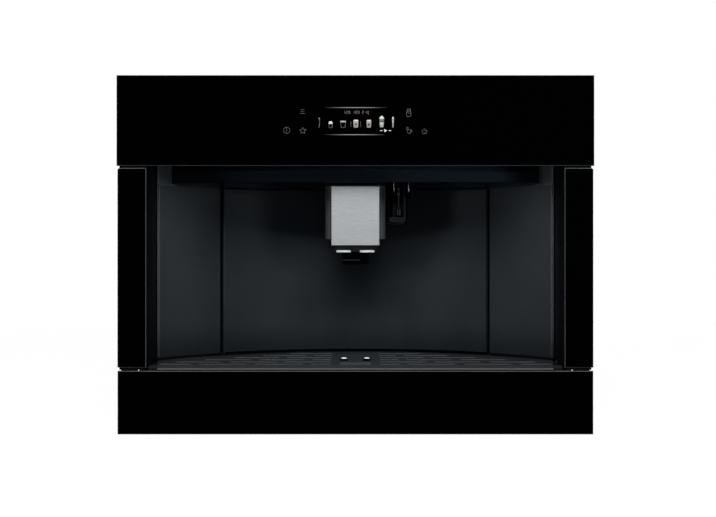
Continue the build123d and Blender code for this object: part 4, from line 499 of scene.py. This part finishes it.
def ground_steel():
    """Turned steel, whose rings are noise stretched along Z."""
    finish = Finish("ground_steel", grey(0.35), 0.3, Metallic=1.0)
    ring = finish.noise(1500.0, 2.0, (1.0, 1.0, 0.05))
    finish.set("Roughness", ring * 0.3 + 0.15)
    return finish.bump(ring, 0.3, 0.00004)


finishes["steel"] = brushed_steel()
# dark_chrome: the steam stem's darkness is painted shadow
finishes["dark_chrome"] = dark_chrome()
finishes["stud_steel"] = stud_steel()
finishes["zinc_sheet"] = galvanised()
finishes["aluminium"] = cast_aluminium()
finishes["burr_steel"] = ground_steel()
print("metals made")

# %% [markdown]
# ## Clear, lit and printed surfaces
# The tank and the hopper are clear mouldings, so they let light through by their
# alpha. The light bars under the spout and the drawings on the display give off
# light, and the display's own window is a black that is a shade softer than the
# glass round it. The circuit board is a green lacquer over faint copper lines.

# %% Clear plastic, light guides, display and board
def clear_plastic():
    """Clear moulding: haze raises its roughness and its alpha together."""
    finish = Finish("clear_plastic", (0.62, 0.68, 0.72), 0.12, Alpha=0.35)
    haze = finish.noise(25.0, 4.0).between(0.35, 0.75)
    finish.set("Roughness", haze * 0.15 + 0.06)
    finish.set("Alpha", haze * 0.12 + 0.26)
    return finish


LENS_OUTER, LENS_INNER = (24.5 * MM, 17 * MM), (6 * MM, 12 * MM)


def light_lens():
    """Light guide that glows in its middle and fades to both its ends, by X."""
    finish = Finish("light_lens", (0.26, 0.27, 0.28), 0.3, Emission_Strength=1.0)
    middle = finish.axis("X").size()
    glow = middle.between(*LENS_OUTER) * middle.between(*LENS_INNER)
    finish.set("Emission Color", finish.tint(glow, (0.02, 0.022, 0.025), (0.15, 0.165, 0.18)))
    return finish


def display_glass():
    """The display's window, a shade softer than the glass round it."""
    finish = Finish("display_glass", (0.004, 0.004, 0.005), 0.15, Specular_IOR_Level=0.2)
    finish.set("Roughness", finish.noise(200.0, 2.0) * 0.1 + 0.1)
    return finish


def circuit_board():
    """Green lacquer; the cells of high value stand for copper under it."""
    finish = Finish("circuit_board", (0.02, 0.12, 0.05), 0.35)
    tracks = finish.cells(260.0).over(0.72)
    finish.set("Base Color", finish.tint(tracks, (0.018, 0.10, 0.045), (0.05, 0.20, 0.09)))
    return finish.bump(tracks, 0.4, 0.00004)


finishes["clear_plastic"] = clear_plastic()
finishes["light_lens"] = light_lens()
finishes["display_glass"] = display_glass()
finishes["board_green"] = circuit_board()
print("clear and lit finishes made")

# %% [markdown]
# ## Dress the CAD pieces
# Each CAD piece keeps its shape and gets the finish of its material slot. The few
# pieces in view get one of their own, because one black plastic isn't another: the
# hood is polished, the spout's housing has a fine grain and its nozzles a soft gloss.
# The grate has a tone of its own on top. Along its front edge it is painted dark
# above and pale below as a highlight, and painted light makes the walls in its slots pale.

# %% Grate finish
GRATE_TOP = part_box("drip_grate")[1][2]
GRATE_BAND = 3.1 * MM               # height of the front edge's band that is painted dark
GRATE_FRONT_Y = FRONT_Y + 8 * MM    # front edge before it, slot walls behind it


def grate_steel():
    """Coated steel: the top by grain and stains; upright faces get painted light by height and by
    depth.
    """
    finish = Finish("grate_steel", (0.030, 0.034, 0.037), 0.22, Metallic=0.5,
                    Specular_IOR_Level=0.12)
    grain = finish.noise(1400.0, 2.0, (0.03, 1.0, 1.0))
    stains = finish.noise(30.0, 5.0).between(0.4, 0.75)
    wear = stains * 0.5 + grain * 0.4
    top = finish.tint(wear, (0.0205, 0.0236, 0.0265), (0.034, 0.038, 0.041))
    height, edge = finish.axis("Z"), finish.facing("Y").between(0.2, 0.6)
    # painted light: the front edge dark above and pale below as a highlight, the slot walls pale
    high = height.over(GRATE_TOP - GRATE_BAND)
    side = finish.tint(high, (0.105, 0.108, 0.112), (0.008, 0.0090, 0.0100))
    side = finish.tint(finish.axis("Y").over(GRATE_FRONT_Y), side, (0.078, 0.081, 0.085))
    finish.set("Base Color", finish.tint(edge, top, side))
    finish.set("Roughness", grain * 0.12 + stains * 0.08 + 0.28)
    return finish.bump(grain, 0.2, 0.00002)


finishes["grate_steel"] = grate_steel()
OWN_FINISH = {
    "drip_grate": "grate_steel", "hood_cover": "hood_plastic",
    "spout_body": "spout_plastic", "spout_column": "column_plastic",
    "spout_nozzle_block": "nozzle_plastic", "connector_housing": "guard_plastic",
    "front_frame": "frame_plastic", "service_bay": "bay_plastic",
    "drip_tray": "tray_plastic", "steam_nozzle": "dark_chrome",
    "hinge_pins": "dark_chrome", "grate_studs": "stud_steel",
}
slot_of = {part["node"]: part["material_slot"] for part in frame["record"]["subparts"]}
for name, piece in frame["nodes"].items():
    wanted = OWN_FINISH.get(name, slot_of[name])
    piece.data.materials.clear()
    piece.data.materials.append(finishes[wanted].material)
print(len(slot_of), "pieces dressed")

# %% [markdown]
# ## Drawings on the glass
# Behind the glass of the control panel a display shows a row of drinks between two
# fading lines, and touch fields glow round it. Every drawing is made of ribbons, a
# line of points with a width, and of patches, a filled outline. Both stand a tenth
# of a millimetre proud, so that they are real geometry. They are worked out as
# whole arrays, and one mesh holds each group.

# %% Ribbon geometry
INK_DEPTH = 0.12 * MM
INK_GAP = 0.02 * MM


def ribbon(points, width, closed=False):
    """Vertices and faces of a flat line of even width.

    Each point is moved half the width to either side, along the normal of the line
    there, which is the mean direction of its two neighbours turned by 90 degrees.
    A copy behind it closes the ribbon into a thin solid.
    """
    line = np.asarray(points, float)
    if closed:
        before, after = np.roll(line, 1, axis=0), np.roll(line, -1, axis=0)
    else:
        before = np.vstack([line[:1], line[:-1]])
        after = np.vstack([line[1:], line[-1:]])
    into = line - before
    out = after - line
    into /= np.maximum(np.linalg.norm(into, axis=1, keepdims=True), 1e-9)
    out /= np.maximum(np.linalg.norm(out, axis=1, keepdims=True), 1e-9)
    if not closed:
        into[0], out[-1] = out[0], into[-1]
    along = into + out
    along /= np.maximum(np.linalg.norm(along, axis=1, keepdims=True), 1e-9)
    side = np.stack([-along[:, 1], along[:, 0]], axis=1)
    widen = 1.0 / np.clip(np.sum(along * out, axis=1), 0.5, 1.0)
    side *= (width / 2 * widen)[:, None]
    count = len(line)
    rings = np.stack([line + side, line - side], axis=1)
    flat = rings.reshape(-1, 2)
    front = np.column_stack([flat[:, 0], np.full(2 * count, -INK_DEPTH), flat[:, 1]])
    back = front.copy()
    back[:, 1] = -INK_GAP
    vertices = np.vstack([front, back])
    here = np.arange(count if closed else count - 1)
    there = (here + 1) % count
    a, b, c, d = 2 * here, 2 * here + 1, 2 * there + 1, 2 * there
    shift = 2 * count
    faces = [np.stack(q, axis=1) for q in (
        (a, b, c, d), (d + shift, c + shift, b + shift, a + shift),
        (a, d, d + shift, a + shift), (c, b, b + shift, c + shift))]
    faces = np.vstack(faces)
    if not closed:
        last = count - 1
        left, right = 2 * last, 2 * last + 1
        caps = [[0, shift, shift + 1, 1], [left, right, shift + right, shift + left]]
        faces = np.vstack([faces, caps])
    return vertices, faces


def patch(outline):
    """A filled flat shape from its outline, as a thin closed plate.

    Both faces are fans of triangles about the outline's mean point. The outline is
    turned round where its signed area, half the sum of x1 z2 - x2 z1, is negative.
    """
    line = np.asarray(outline, float)
    count = len(line)
    after = np.roll(line, -1, axis=0)
    if np.sum(line[:, 0] * after[:, 1] - line[:, 1] * after[:, 0]) < 0:
        line = line[::-1]
    line = np.vstack([line, line.mean(axis=0)])
    front = np.column_stack([line[:, 0], np.full(count + 1, -INK_DEPTH), line[:, 1]])
    back = front.copy()
    back[:, 1] = -INK_GAP
    here = np.arange(count)
    there = (here + 1) % count
    middle = np.full(count, count)
    shift = count + 1
    lid = np.stack([here, there, middle, middle], axis=1)
    floor = np.stack([there + shift, here + shift, middle + shift, middle + shift], axis=1)
    wall = np.stack([there, here, here + shift, there + shift], axis=1)
    return np.vstack([front, back]), np.vstack([lid, floor, wall])


def circle(radius, steps=28, start=0.0, turn=2 * math.pi, squash=1.0):
    """Points of an arc about the origin, whose ends meet if it makes a full turn."""
    full = abs(turn - 2 * math.pi) < 1e-9
    angle = start + np.linspace(0.0, turn, steps, endpoint=not full)
    return np.column_stack([radius * np.cos(angle), radius * squash * np.sin(angle)])


def moved(points, x, z):
    """The points shifted on the glass by x to the right and z up."""
    return np.asarray(points, float) + np.array([x, z])


def drawing(name, pieces, finish, body="machine"):
    """One mesh object from many ribbons and patches, given in metres.

    A patch has triangles among its faces, which repeat their last corner. They are
    told by that, and the repeated corner is left out of the mesh's loops.
    """
    starts = np.cumsum([0] + [len(vertices) for vertices, _ in pieces[:-1]])
    vertices = np.vstack([vertices for vertices, _ in pieces])
    faces = np.vstack([faces + start for (_, faces), start in zip(pieces, starts)])
    mesh = bpy.data.meshes.new(name)
    mesh.from_pydata(vertices.tolist(), [], [])
    triangle = faces[:, 2] == faces[:, 3]
    sizes = np.where(triangle, 3, 4)
    corners = faces[np.column_stack([np.ones((len(faces), 3), bool), ~triangle])]
    mesh.loops.add(len(corners))
    mesh.loops.foreach_set("vertex_index", corners)
    mesh.polygons.add(len(faces))
    mesh.polygons.foreach_set("loop_start", np.cumsum(sizes) - sizes)
    mesh.update(calc_edges=True)
    mesh.materials.append(finish.material)
    piece = bpy.data.objects.new(name, mesh)
    bpy.context.scene.collection.objects.link(piece)
    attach(piece, body)


print("ribbon helpers ready")

# %% [markdown]
# The photograph is 716 pixels wide, and the front of the machine is flat to it, so
# a place on the glass is read off in pixels once and turned into metres by the
# scale of the front: 1.2475 mm to a pixel, with the machine's middle at x 355.4 and
# the camera's own height at y 256.

# %% From pixels on the photograph to metres on the glass
MM_PER_PIXEL = 1.2475
MIDDLE_X = 355.4
EYE_Y = 256.0
PIXEL = MM_PER_PIXEL * MM


def on_glass(x, y):
    """Place on the front glass of a pixel of the photograph."""
    return ((x - MIDDLE_X) * PIXEL, EYE_Z - (y - EYE_Y) * PIXEL)


def in_place(parts):
    """Shift flat drawings to the glass, a hair in front of its face."""
    shift = np.array([0.0, FRONT_Y, 0.0])
    return [(np.asarray(vertices) + shift, faces) for vertices, faces in parts]


print("glass scale ready, panel middle at", on_glass(MIDDLE_X, 120.0))

# %% [markdown]
# ## Touch fields
# Six dim symbols stand left and right of the display. They are simple outlines:
# three lines, a ring with a stroke, a star, a jar, a cup with a bead and a pot.

# %% Symbols of the touch fields
LINE = 0.34 * MM
INK_ROUGHNESS = 0.4


def glowing(name, color):
    """Printed ink that is lit from behind."""
    unlit = tuple(value * 0.3 for value in color)
    finish = Finish(name, unlit, INK_ROUGHNESS, Emission_Strength=1.0)
    grain = finish.noise(900.0, 2.0)
    dim = tuple(value * 0.75 for value in color)
    finish.set("Emission Color", finish.tint(grain, dim, color))
    return finish


def star(radius, inner=0.48):
    """Ten points round a circle, every second one drawn in."""
    turn = math.pi / 2 + np.arange(10) * math.pi / 5
    reach = np.where(np.arange(10) % 2, radius * inner, radius)
    return np.column_stack([reach * np.cos(turn), reach * np.sin(turn)])


def outlines(x, z, *shapes):
    """Ribbons along shapes in millimetres about a place, each with closed or not."""
    return [ribbon(moved(np.array(shape) * MM, x, z), LINE, closed=closed)
            for shape, closed in shapes]


def menu_symbol(x, z):
    """Three lines: height, half width and thickness in millimetres."""
    rows = ((2.5, 2.6, 0.24), (0.1, 2.6, 0.24), (-2.5, 3.4, 0.42))
    return [ribbon([(x - w * MM, z + r * MM), (x + w * MM, z + r * MM)], t * MM)
            for r, w, t in rows]


def power_symbol(x, z):
    ring = ribbon(moved(circle(3.85 * MM), x, z), LINE, closed=True)
    stroke = ribbon([(x, z + 2.4 * MM), (x, z - 2.4 * MM)], LINE)
    return [ring, stroke]


def star_symbol(x, z):
    return [ribbon(moved(star(4.1 * MM), x, z), LINE, closed=True)]


def jar_symbol(x, z):
    lid = [(-1.9, 4.8), (1.9, 4.8), (2.2, 2.6), (-2.2, 2.6)]
    glass = [(-2.2, 1.9), (-2.8, 0.6), (-2.6, -3.4), (-1.5, -4.8),
             (1.5, -4.8), (2.6, -3.4), (2.8, 0.6), (2.2, 1.9)]
    level = [(-2.5, -0.2), (2.5, -0.2)]
    return outlines(x, z, (lid, True), (glass, True), (level, False))


def cup_symbol(x, z):
    bowl = [(-2.4, 1.2), (2.4, 1.2), (2.0, -2.2), (1.0, -3.3), (-1.0, -3.3), (-2.0, -2.2)]
    handle = moved(circle(1.4 * MM, 10, -1.3, 2.9), x + 2.5 * MM, z - 0.3 * MM)
    bead = moved(circle(1.2 * MM, 14), x - 2.0 * MM, z + 3.1 * MM)
    return outlines(x, z, (bowl, True)) + [ribbon(handle, LINE), ribbon(bead, LINE, closed=True)]


def pot_symbol(x, z):
    lid = [(-2.2, 1.9), (0.0, 2.9), (2.2, 1.9)]
    body = [(-3.1, 0.9), (3.1, 0.9), (2.4, -2.4), (-2.4, -2.4)]
    foot = [(-3.4, -3.4), (3.4, -3.4)]
    return outlines(x, z, (lid, False), (body, True), (foot, False))


dim_ink = glowing("dim_ink", (0.085, 0.085, 0.09))
touch_symbols = (menu_symbol(*on_glass(302.5, 111.4)) + power_symbol(*on_glass(286.7, 130.3))
                 + star_symbol(*on_glass(302.8, 130.8)) + jar_symbol(*on_glass(408.7, 112.8))
                 + cup_symbol(*on_glass(408.9, 130.8)))
drawing("touch_symbols", in_place(touch_symbols), dim_ink)
faint_ink = glowing("faint_ink", (0.040, 0.040, 0.043))
drawing("pot_touch_symbol", in_place(pot_symbol(*on_glass(424.4, 131.1))), faint_ink)
print("touch fields drawn")

# %% [markdown]
# ## The display
# A row of drinks is shown, the chosen one in the middle between two upright marks.
# A glass is a stack of levels, each a little narrower, so one table draws them all.
# The line above and the line below fade towards their ends, by their own X place.

# %% Drinks in a row
def band(x, top, bottom, top_width, bottom_width):
    """Corners of one level of a glass: two heights and the width at each, in pixels."""
    left, high = on_glass(x - top_width / 2, top)
    right, low = on_glass(x + top_width / 2, bottom)
    inset = (top_width - bottom_width) / 2 * PIXEL
    return [(left, high), (right, high), (right - inset, low), (left + inset, low)]


# middle x, then for each level: top, bottom, width at the top and at the bottom, ink
DRINKS = (
    (330.6, (121.3, 123.0, 2.6, 4.2, "foam"), (123.0, 124.0, 4.2, 4.0, "foam"),
     (124.0, 127.8, 3.6, 3.0, "outline")),
    (343.1, (120.8, 122.4, 5.8, 5.6, "haze"), (122.4, 127.5, 5.0, 3.9, "outline")),
    (355.9, (119.8, 121.0, 3.6, 5.2, "foam"), (121.0, 127.6, 5.3, 4.2, "cream")),
    (368.9, (119.9, 121.0, 3.2, 4.8, "foam"), (121.0, 127.6, 4.9, 3.8, "cream")),
    (381.7, (115.9, 117.2, 1.2, 3.6, "foam"), (117.2, 118.9, 3.8, 4.9, "foam"),
     (118.9, 122.2, 4.7, 4.4, "dusk"), (122.2, 127.3, 4.4, 3.3, "haze")),
    (393.0, (117.0, 118.9, 1.2, 1.7, "foam"), (118.9, 127.5, 1.7, 1.2, "cream")),
)
levels = {ink: [] for ink in ("foam", "haze", "cream", "dusk", "outline")}
for x, *bands in DRINKS:
    for *edges, ink in bands:
        corners = band(x, *edges)
        drawn = ink == "outline"
        levels[ink].append(ribbon(corners, 0.4 * MM, closed=True) if drawn else patch(corners))
hook = [on_glass(*place) for place in ((319.6, 119.4), (319.4, 127.0), (318.2, 127.2))]
levels["outline"].append(ribbon(hook, 0.5 * MM))
dot = moved(circle(0.7 * MM, 14), *on_glass(319.2, 118.6))
levels["outline"].append(ribbon(dot, 1.0 * MM, closed=True))
for mark_x in (350.9, 360.7):
    levels["outline"].append(ribbon([on_glass(mark_x, 121.2), on_glass(mark_x, 127.2)], 0.4 * MM))
INKS = {"foam": (0.50, 0.51, 0.50), "haze": (0.27, 0.28, 0.27), "cream": (0.26, 0.235, 0.20),
        "dusk": (0.085, 0.085, 0.070), "outline": (0.080, 0.080, 0.084)}
for ink, shapes in levels.items():
    drawing("display_" + ink, in_place(shapes), glowing(ink + "_ink", INKS[ink]))


def bean(x, y, size):
    """A coffee bean mark: a filled oval that stands before its glass."""
    vertices, faces = patch(moved(circle(size * MM, 18, squash=1.35), *on_glass(x, y)))
    return vertices + np.array([0.0, -INK_DEPTH, 0.0]), faces


bean_ink = glowing("bean_ink", (0.050, 0.040, 0.032))
beans = [bean(355.9, 124.2, 1.3), bean(368.9, 124.4, 1.5)]
drawing("display_beans", in_place(beans), bean_ink)
print(len(DRINKS), "drinks drawn")

# %% Two fading lines, plain numbers and a start arrow
def fading_ink(name, color, start, stop):
    """Ink that is full in the middle and gone at both ends, by object X."""
    finish = Finish(name, (0.002, 0.002, 0.002), 0.5, Emission_Strength=1.0)
    middle, reach = (start + stop) / 2, (stop - start) / 2
    fade = (finish.axis("X") - middle).size().between(reach, reach * 0.25)
    finish.set("Emission Color", finish.tint(fade, (0.0, 0.0, 0.0), color))
    return finish


lines = []
for y, start, stop in ((107.6, 325.6, 387.2), (134.7, 324.4, 384.4)):
    lines.append(ribbon([on_glass(start, y), on_glass(stop, y)], 0.8 * MM))
line_ink = fading_ink("line_ink", (0.25, 0.245, 0.24), on_glass(324.8, 0)[0], on_glass(386.8, 0)[0])
drawing("display_lines", in_place(lines), line_ink)

SEGMENTS = {
    "1": [((1, 0), (1, 2))],
    "2": [((0, 2), (1, 2), (1, 1), (0, 1), (0, 0), (1, 0))],
    "0": [((0, 0), (0, 2), (1, 2), (1, 0), (0, 0))],
    "8": [((0, 0), (0, 2), (1, 2), (1, 0), (0, 0)), ((0, 1), (1, 1))],
}


def digits(text, x, y, size):
    """Plain numbers drawn as strokes, as on a clock."""
    strokes = []
    cx, cz = on_glass(x, y)
    width, step = size * 0.5, size * 0.95
    start = cx - (len(text) - 1) * step / 2 - width / 2
    for place, digit in enumerate(text):
        for stroke in SEGMENTS[digit]:
            points = np.array(stroke, float) * np.array([width, size / 2])
            strokes.append(ribbon(moved(points, start + place * step, cz - size / 2), 0.42 * MM))
    return strokes


number_ink = glowing("number_ink", (0.105, 0.082, 0.080))
numbers = [stroke for place, text in ((346.6, "120"), (356.0, "180"), (365.4, "210"))
           for stroke in digits(text, place, 112.4, 3.3 * MM)]
drawing("display_number", in_place(numbers), number_ink)
arrow_x, arrow_z = on_glass(385.6, 130.6)
arrow = np.array([(-1.6, 2.0), (2.2, 0.0), (-1.6, -2.0)]) * MM
arrow_parts = [patch(moved(arrow, arrow_x, arrow_z))]
for side in (-1, 1):
    bar_x = arrow_x + side * 5.4 * MM
    arrow_parts.append(ribbon([(bar_x - 1.6 * MM, arrow_z), (bar_x + 1.6 * MM, arrow_z)], 0.8 * MM))
bright_ink = glowing("bright_ink", (0.50, 0.50, 0.50))
drawing("start_arrow", in_place(arrow_parts), bright_ink)
print("display finished")

# %% [markdown]
# ## Floor, backdrop and light
# The photograph has a pure white surround with no visible floor. The floor is a
# pale sheet that looks white to the camera but still takes the machine's shadow,
# and the world is white only to camera rays. Far from the machine the floor is
# fully white, so that no horizon shows. A wide softbox stands in front, about 34
# degrees up: the hood's shadow on the curved wall ends where such a light ends it.
# All lamps stay outside the part of the room that the flat glass mirrors.

# %% Pale floor
FLOOR_SIZE = 12.0
FLOOR_TONE, FLOOR_IN_GLASS = 0.80, 0.03
FLOOR_FADE = (0.8, 5.0, 0.965, 1.0)  # squared distances, and how white the floor is there
floor_mesh = bpy.data.meshes.new("floor")
half = FLOOR_SIZE / 2
floor_corners = [(-half, -half, 0), (half, -half, 0), (half, half, 0), (-half, half, 0)]
floor_mesh.from_pydata(floor_corners, [], [(0, 1, 2, 3)])
floor = bpy.data.objects.new("floor", floor_mesh)
bpy.context.scene.collection.objects.link(floor)


def floor_paper():
    """Pale paper: plain to the light, and pure white to the camera where it is lit."""
    finish = Finish("floor_paper", grey(FLOOR_TONE), 0.9, Specular_IOR_Level=0.0)
    camera_ray = finish.node("ShaderNodeLightPath", output="Is Camera Ray")
    glossy_ray = finish.node("ShaderNodeLightPath", output="Is Glossy Ray")
    finish.set("Base Color", finish.tint(glossy_ray, grey(FLOOR_TONE), grey(FLOOR_IN_GLASS)))
    white = finish.node("ShaderNodeEmission", inputs={"Color": (1, 1, 1, 1), "Strength": 1.0})
    lit = Signal(finish, finish.shader.outputs[0])
    along, across = finish.axis("X"), finish.axis("Y")
    far = (along * along + across * across).between(*FLOOR_FADE)
    mixed = finish.node("ShaderNodeMixShader", inputs={0: camera_ray * far, 1: lit, 2: white})
    finish.plug(mixed, finish.tree.nodes["Material Output"].inputs["Surface"])
    return finish


floor.data.materials.append(floor_paper().material)
print("floor", FLOOR_SIZE, "m wide")

# %% World: white to the camera, a soft grey room, and darker in reflections
ROOM_LIGHT = 0.16
ROOM_COLOR = (0.80, 0.90, 1.0)
GLOSSY_ROOM = 0.016
SHEEN = 0.26
SHEEN_COLOR = (0.42, 0.66, 1.0)
# by the X of a mirrored ray's direction: where the strip begins and ends, and two
# rises, each with the amount that it adds to the base level
STRIP_LEFT, STRIP_RIGHT = (-0.38, -0.26), (0.41, 0.36)
STRIP_BASE = 0.42
STRIP_RISE, STRIP_SLOPE = (0.05, 0.12), (0.08, 0.36)
RISE_AMOUNT, SLOPE_AMOUNT = 0.30, 0.28


def studio():
    """Room light by the kind of ray; a mirrored ray also sees a strip, brighter to the right."""
    world = bpy.data.worlds.new("studio")
    world.use_nodes = True
    graph = Graph(world.node_tree)
    camera_ray = graph.node("ShaderNodeLightPath", output="Is Camera Ray")
    glossy_ray = graph.node("ShaderNodeLightPath", output="Is Glossy Ray")
    direction = graph.node("ShaderNodeTexCoord", output="Generated")
    across = graph.node("ShaderNodeSeparateXYZ", inputs={"Vector": direction}, output="X")
    strip = across.between(*STRIP_LEFT) * across.between(*STRIP_RIGHT)
    rise = across.between(*STRIP_RISE) * RISE_AMOUNT
    level = rise + across.between(*STRIP_SLOPE) * SLOPE_AMOUNT + STRIP_BASE
    sheen = strip * level * SHEEN + GLOSSY_ROOM
    room = glossy_ray * (sheen - ROOM_LIGHT) + ROOM_LIGHT
    background = world.node_tree.nodes["Background"]
    color = graph.tint(glossy_ray, ROOM_COLOR, SHEEN_COLOR)
    graph.plug(graph.tint(camera_ray, color, grey(1.0)), background.inputs["Color"])
    graph.plug(camera_ray * (1.0 - room) + room, background.inputs["Strength"])
    return world


bpy.context.scene.world = studio()
print("room light", ROOM_LIGHT, "and", GLOSSY_ROOM, "in reflections")


# %% Softboxes
def softbox(name, place, target, width, height, power):
    """A rectangular area lamp that looks at a point: sizes in metres, power in watts."""
    lamp = bpy.data.lights.new(name, "AREA")
    lamp.shape = "RECTANGLE"
    lamp.size, lamp.size_y = width, height
    lamp.energy = power
    holder = bpy.data.objects.new(name, lamp)
    holder.location = place
    aim = Vector(target) - Vector(place)
    holder.rotation_euler = aim.to_track_quat("-Z", "Y").to_euler()
    bpy.context.scene.collection.objects.link(holder)


softbox("front", (0, -2.75, 2.02), (0, 0.05, 0.15), 2.4, 0.95, 119)
softbox("high", (0, -2.0, 2.35), (0, -0.2, 0.2), 1.6, 0.7, 40)
for side, name in ((-1, "left"), (1, "right")):
    softbox(name + "_low", (side * 1.72, -2.15, 0.38), (0, -0.07, 0.30), 0.5, 0.3, 2.2)
    softbox(name, (side * 2.4, -0.95, 0.34), (0, -0.1, 0.25), 0.9, 0.5, 6.6)
softbox("top", (0, -0.5, 2.5), (0, 0, 0.3), 2.0, 0.9, 18)
softbox("back", (0.4, 2.4, 1.4), (0, 0.2, 0.2), 1.6, 1.2, 22)
print("softboxes placed")

# %% [markdown]
# ## Camera
# Verticals are parallel in the photograph, so the camera is level and its height
# is where the machine's horizontals stay flat. The wall, the grate and the seams
# shrink with depth, which gives the distance: 1.12 m in front of the glass. The
# lens follows from the scale, and a small shift centres the frame as it was.

# %% Camera at the photograph's place
PHOTO_WIDTH, PHOTO_HEIGHT = 716, 517
DISTANCE = 1.12
SENSOR = 36.0
focal_pixels = DISTANCE / PIXEL
camera_data = bpy.data.cameras.new("camera")
camera_data.sensor_width = SENSOR
camera_data.lens = focal_pixels * SENSOR / PHOTO_WIDTH
camera_data.shift_x = (PHOTO_WIDTH / 2 - MIDDLE_X) / PHOTO_WIDTH
camera_data.shift_y = (EYE_Y - PHOTO_HEIGHT / 2) / PHOTO_WIDTH
camera = bpy.data.objects.new("camera", camera_data)
camera.location = (0.0, FRONT_Y - DISTANCE, EYE_Z)
camera.rotation_euler = (math.radians(90), 0.0, 0.0)
bpy.context.scene.collection.objects.link(camera)
bpy.context.scene.camera = camera
bpy.context.scene.view_settings.view_transform = "Standard"
print("lens", round(camera_data.lens, 2), "mm")
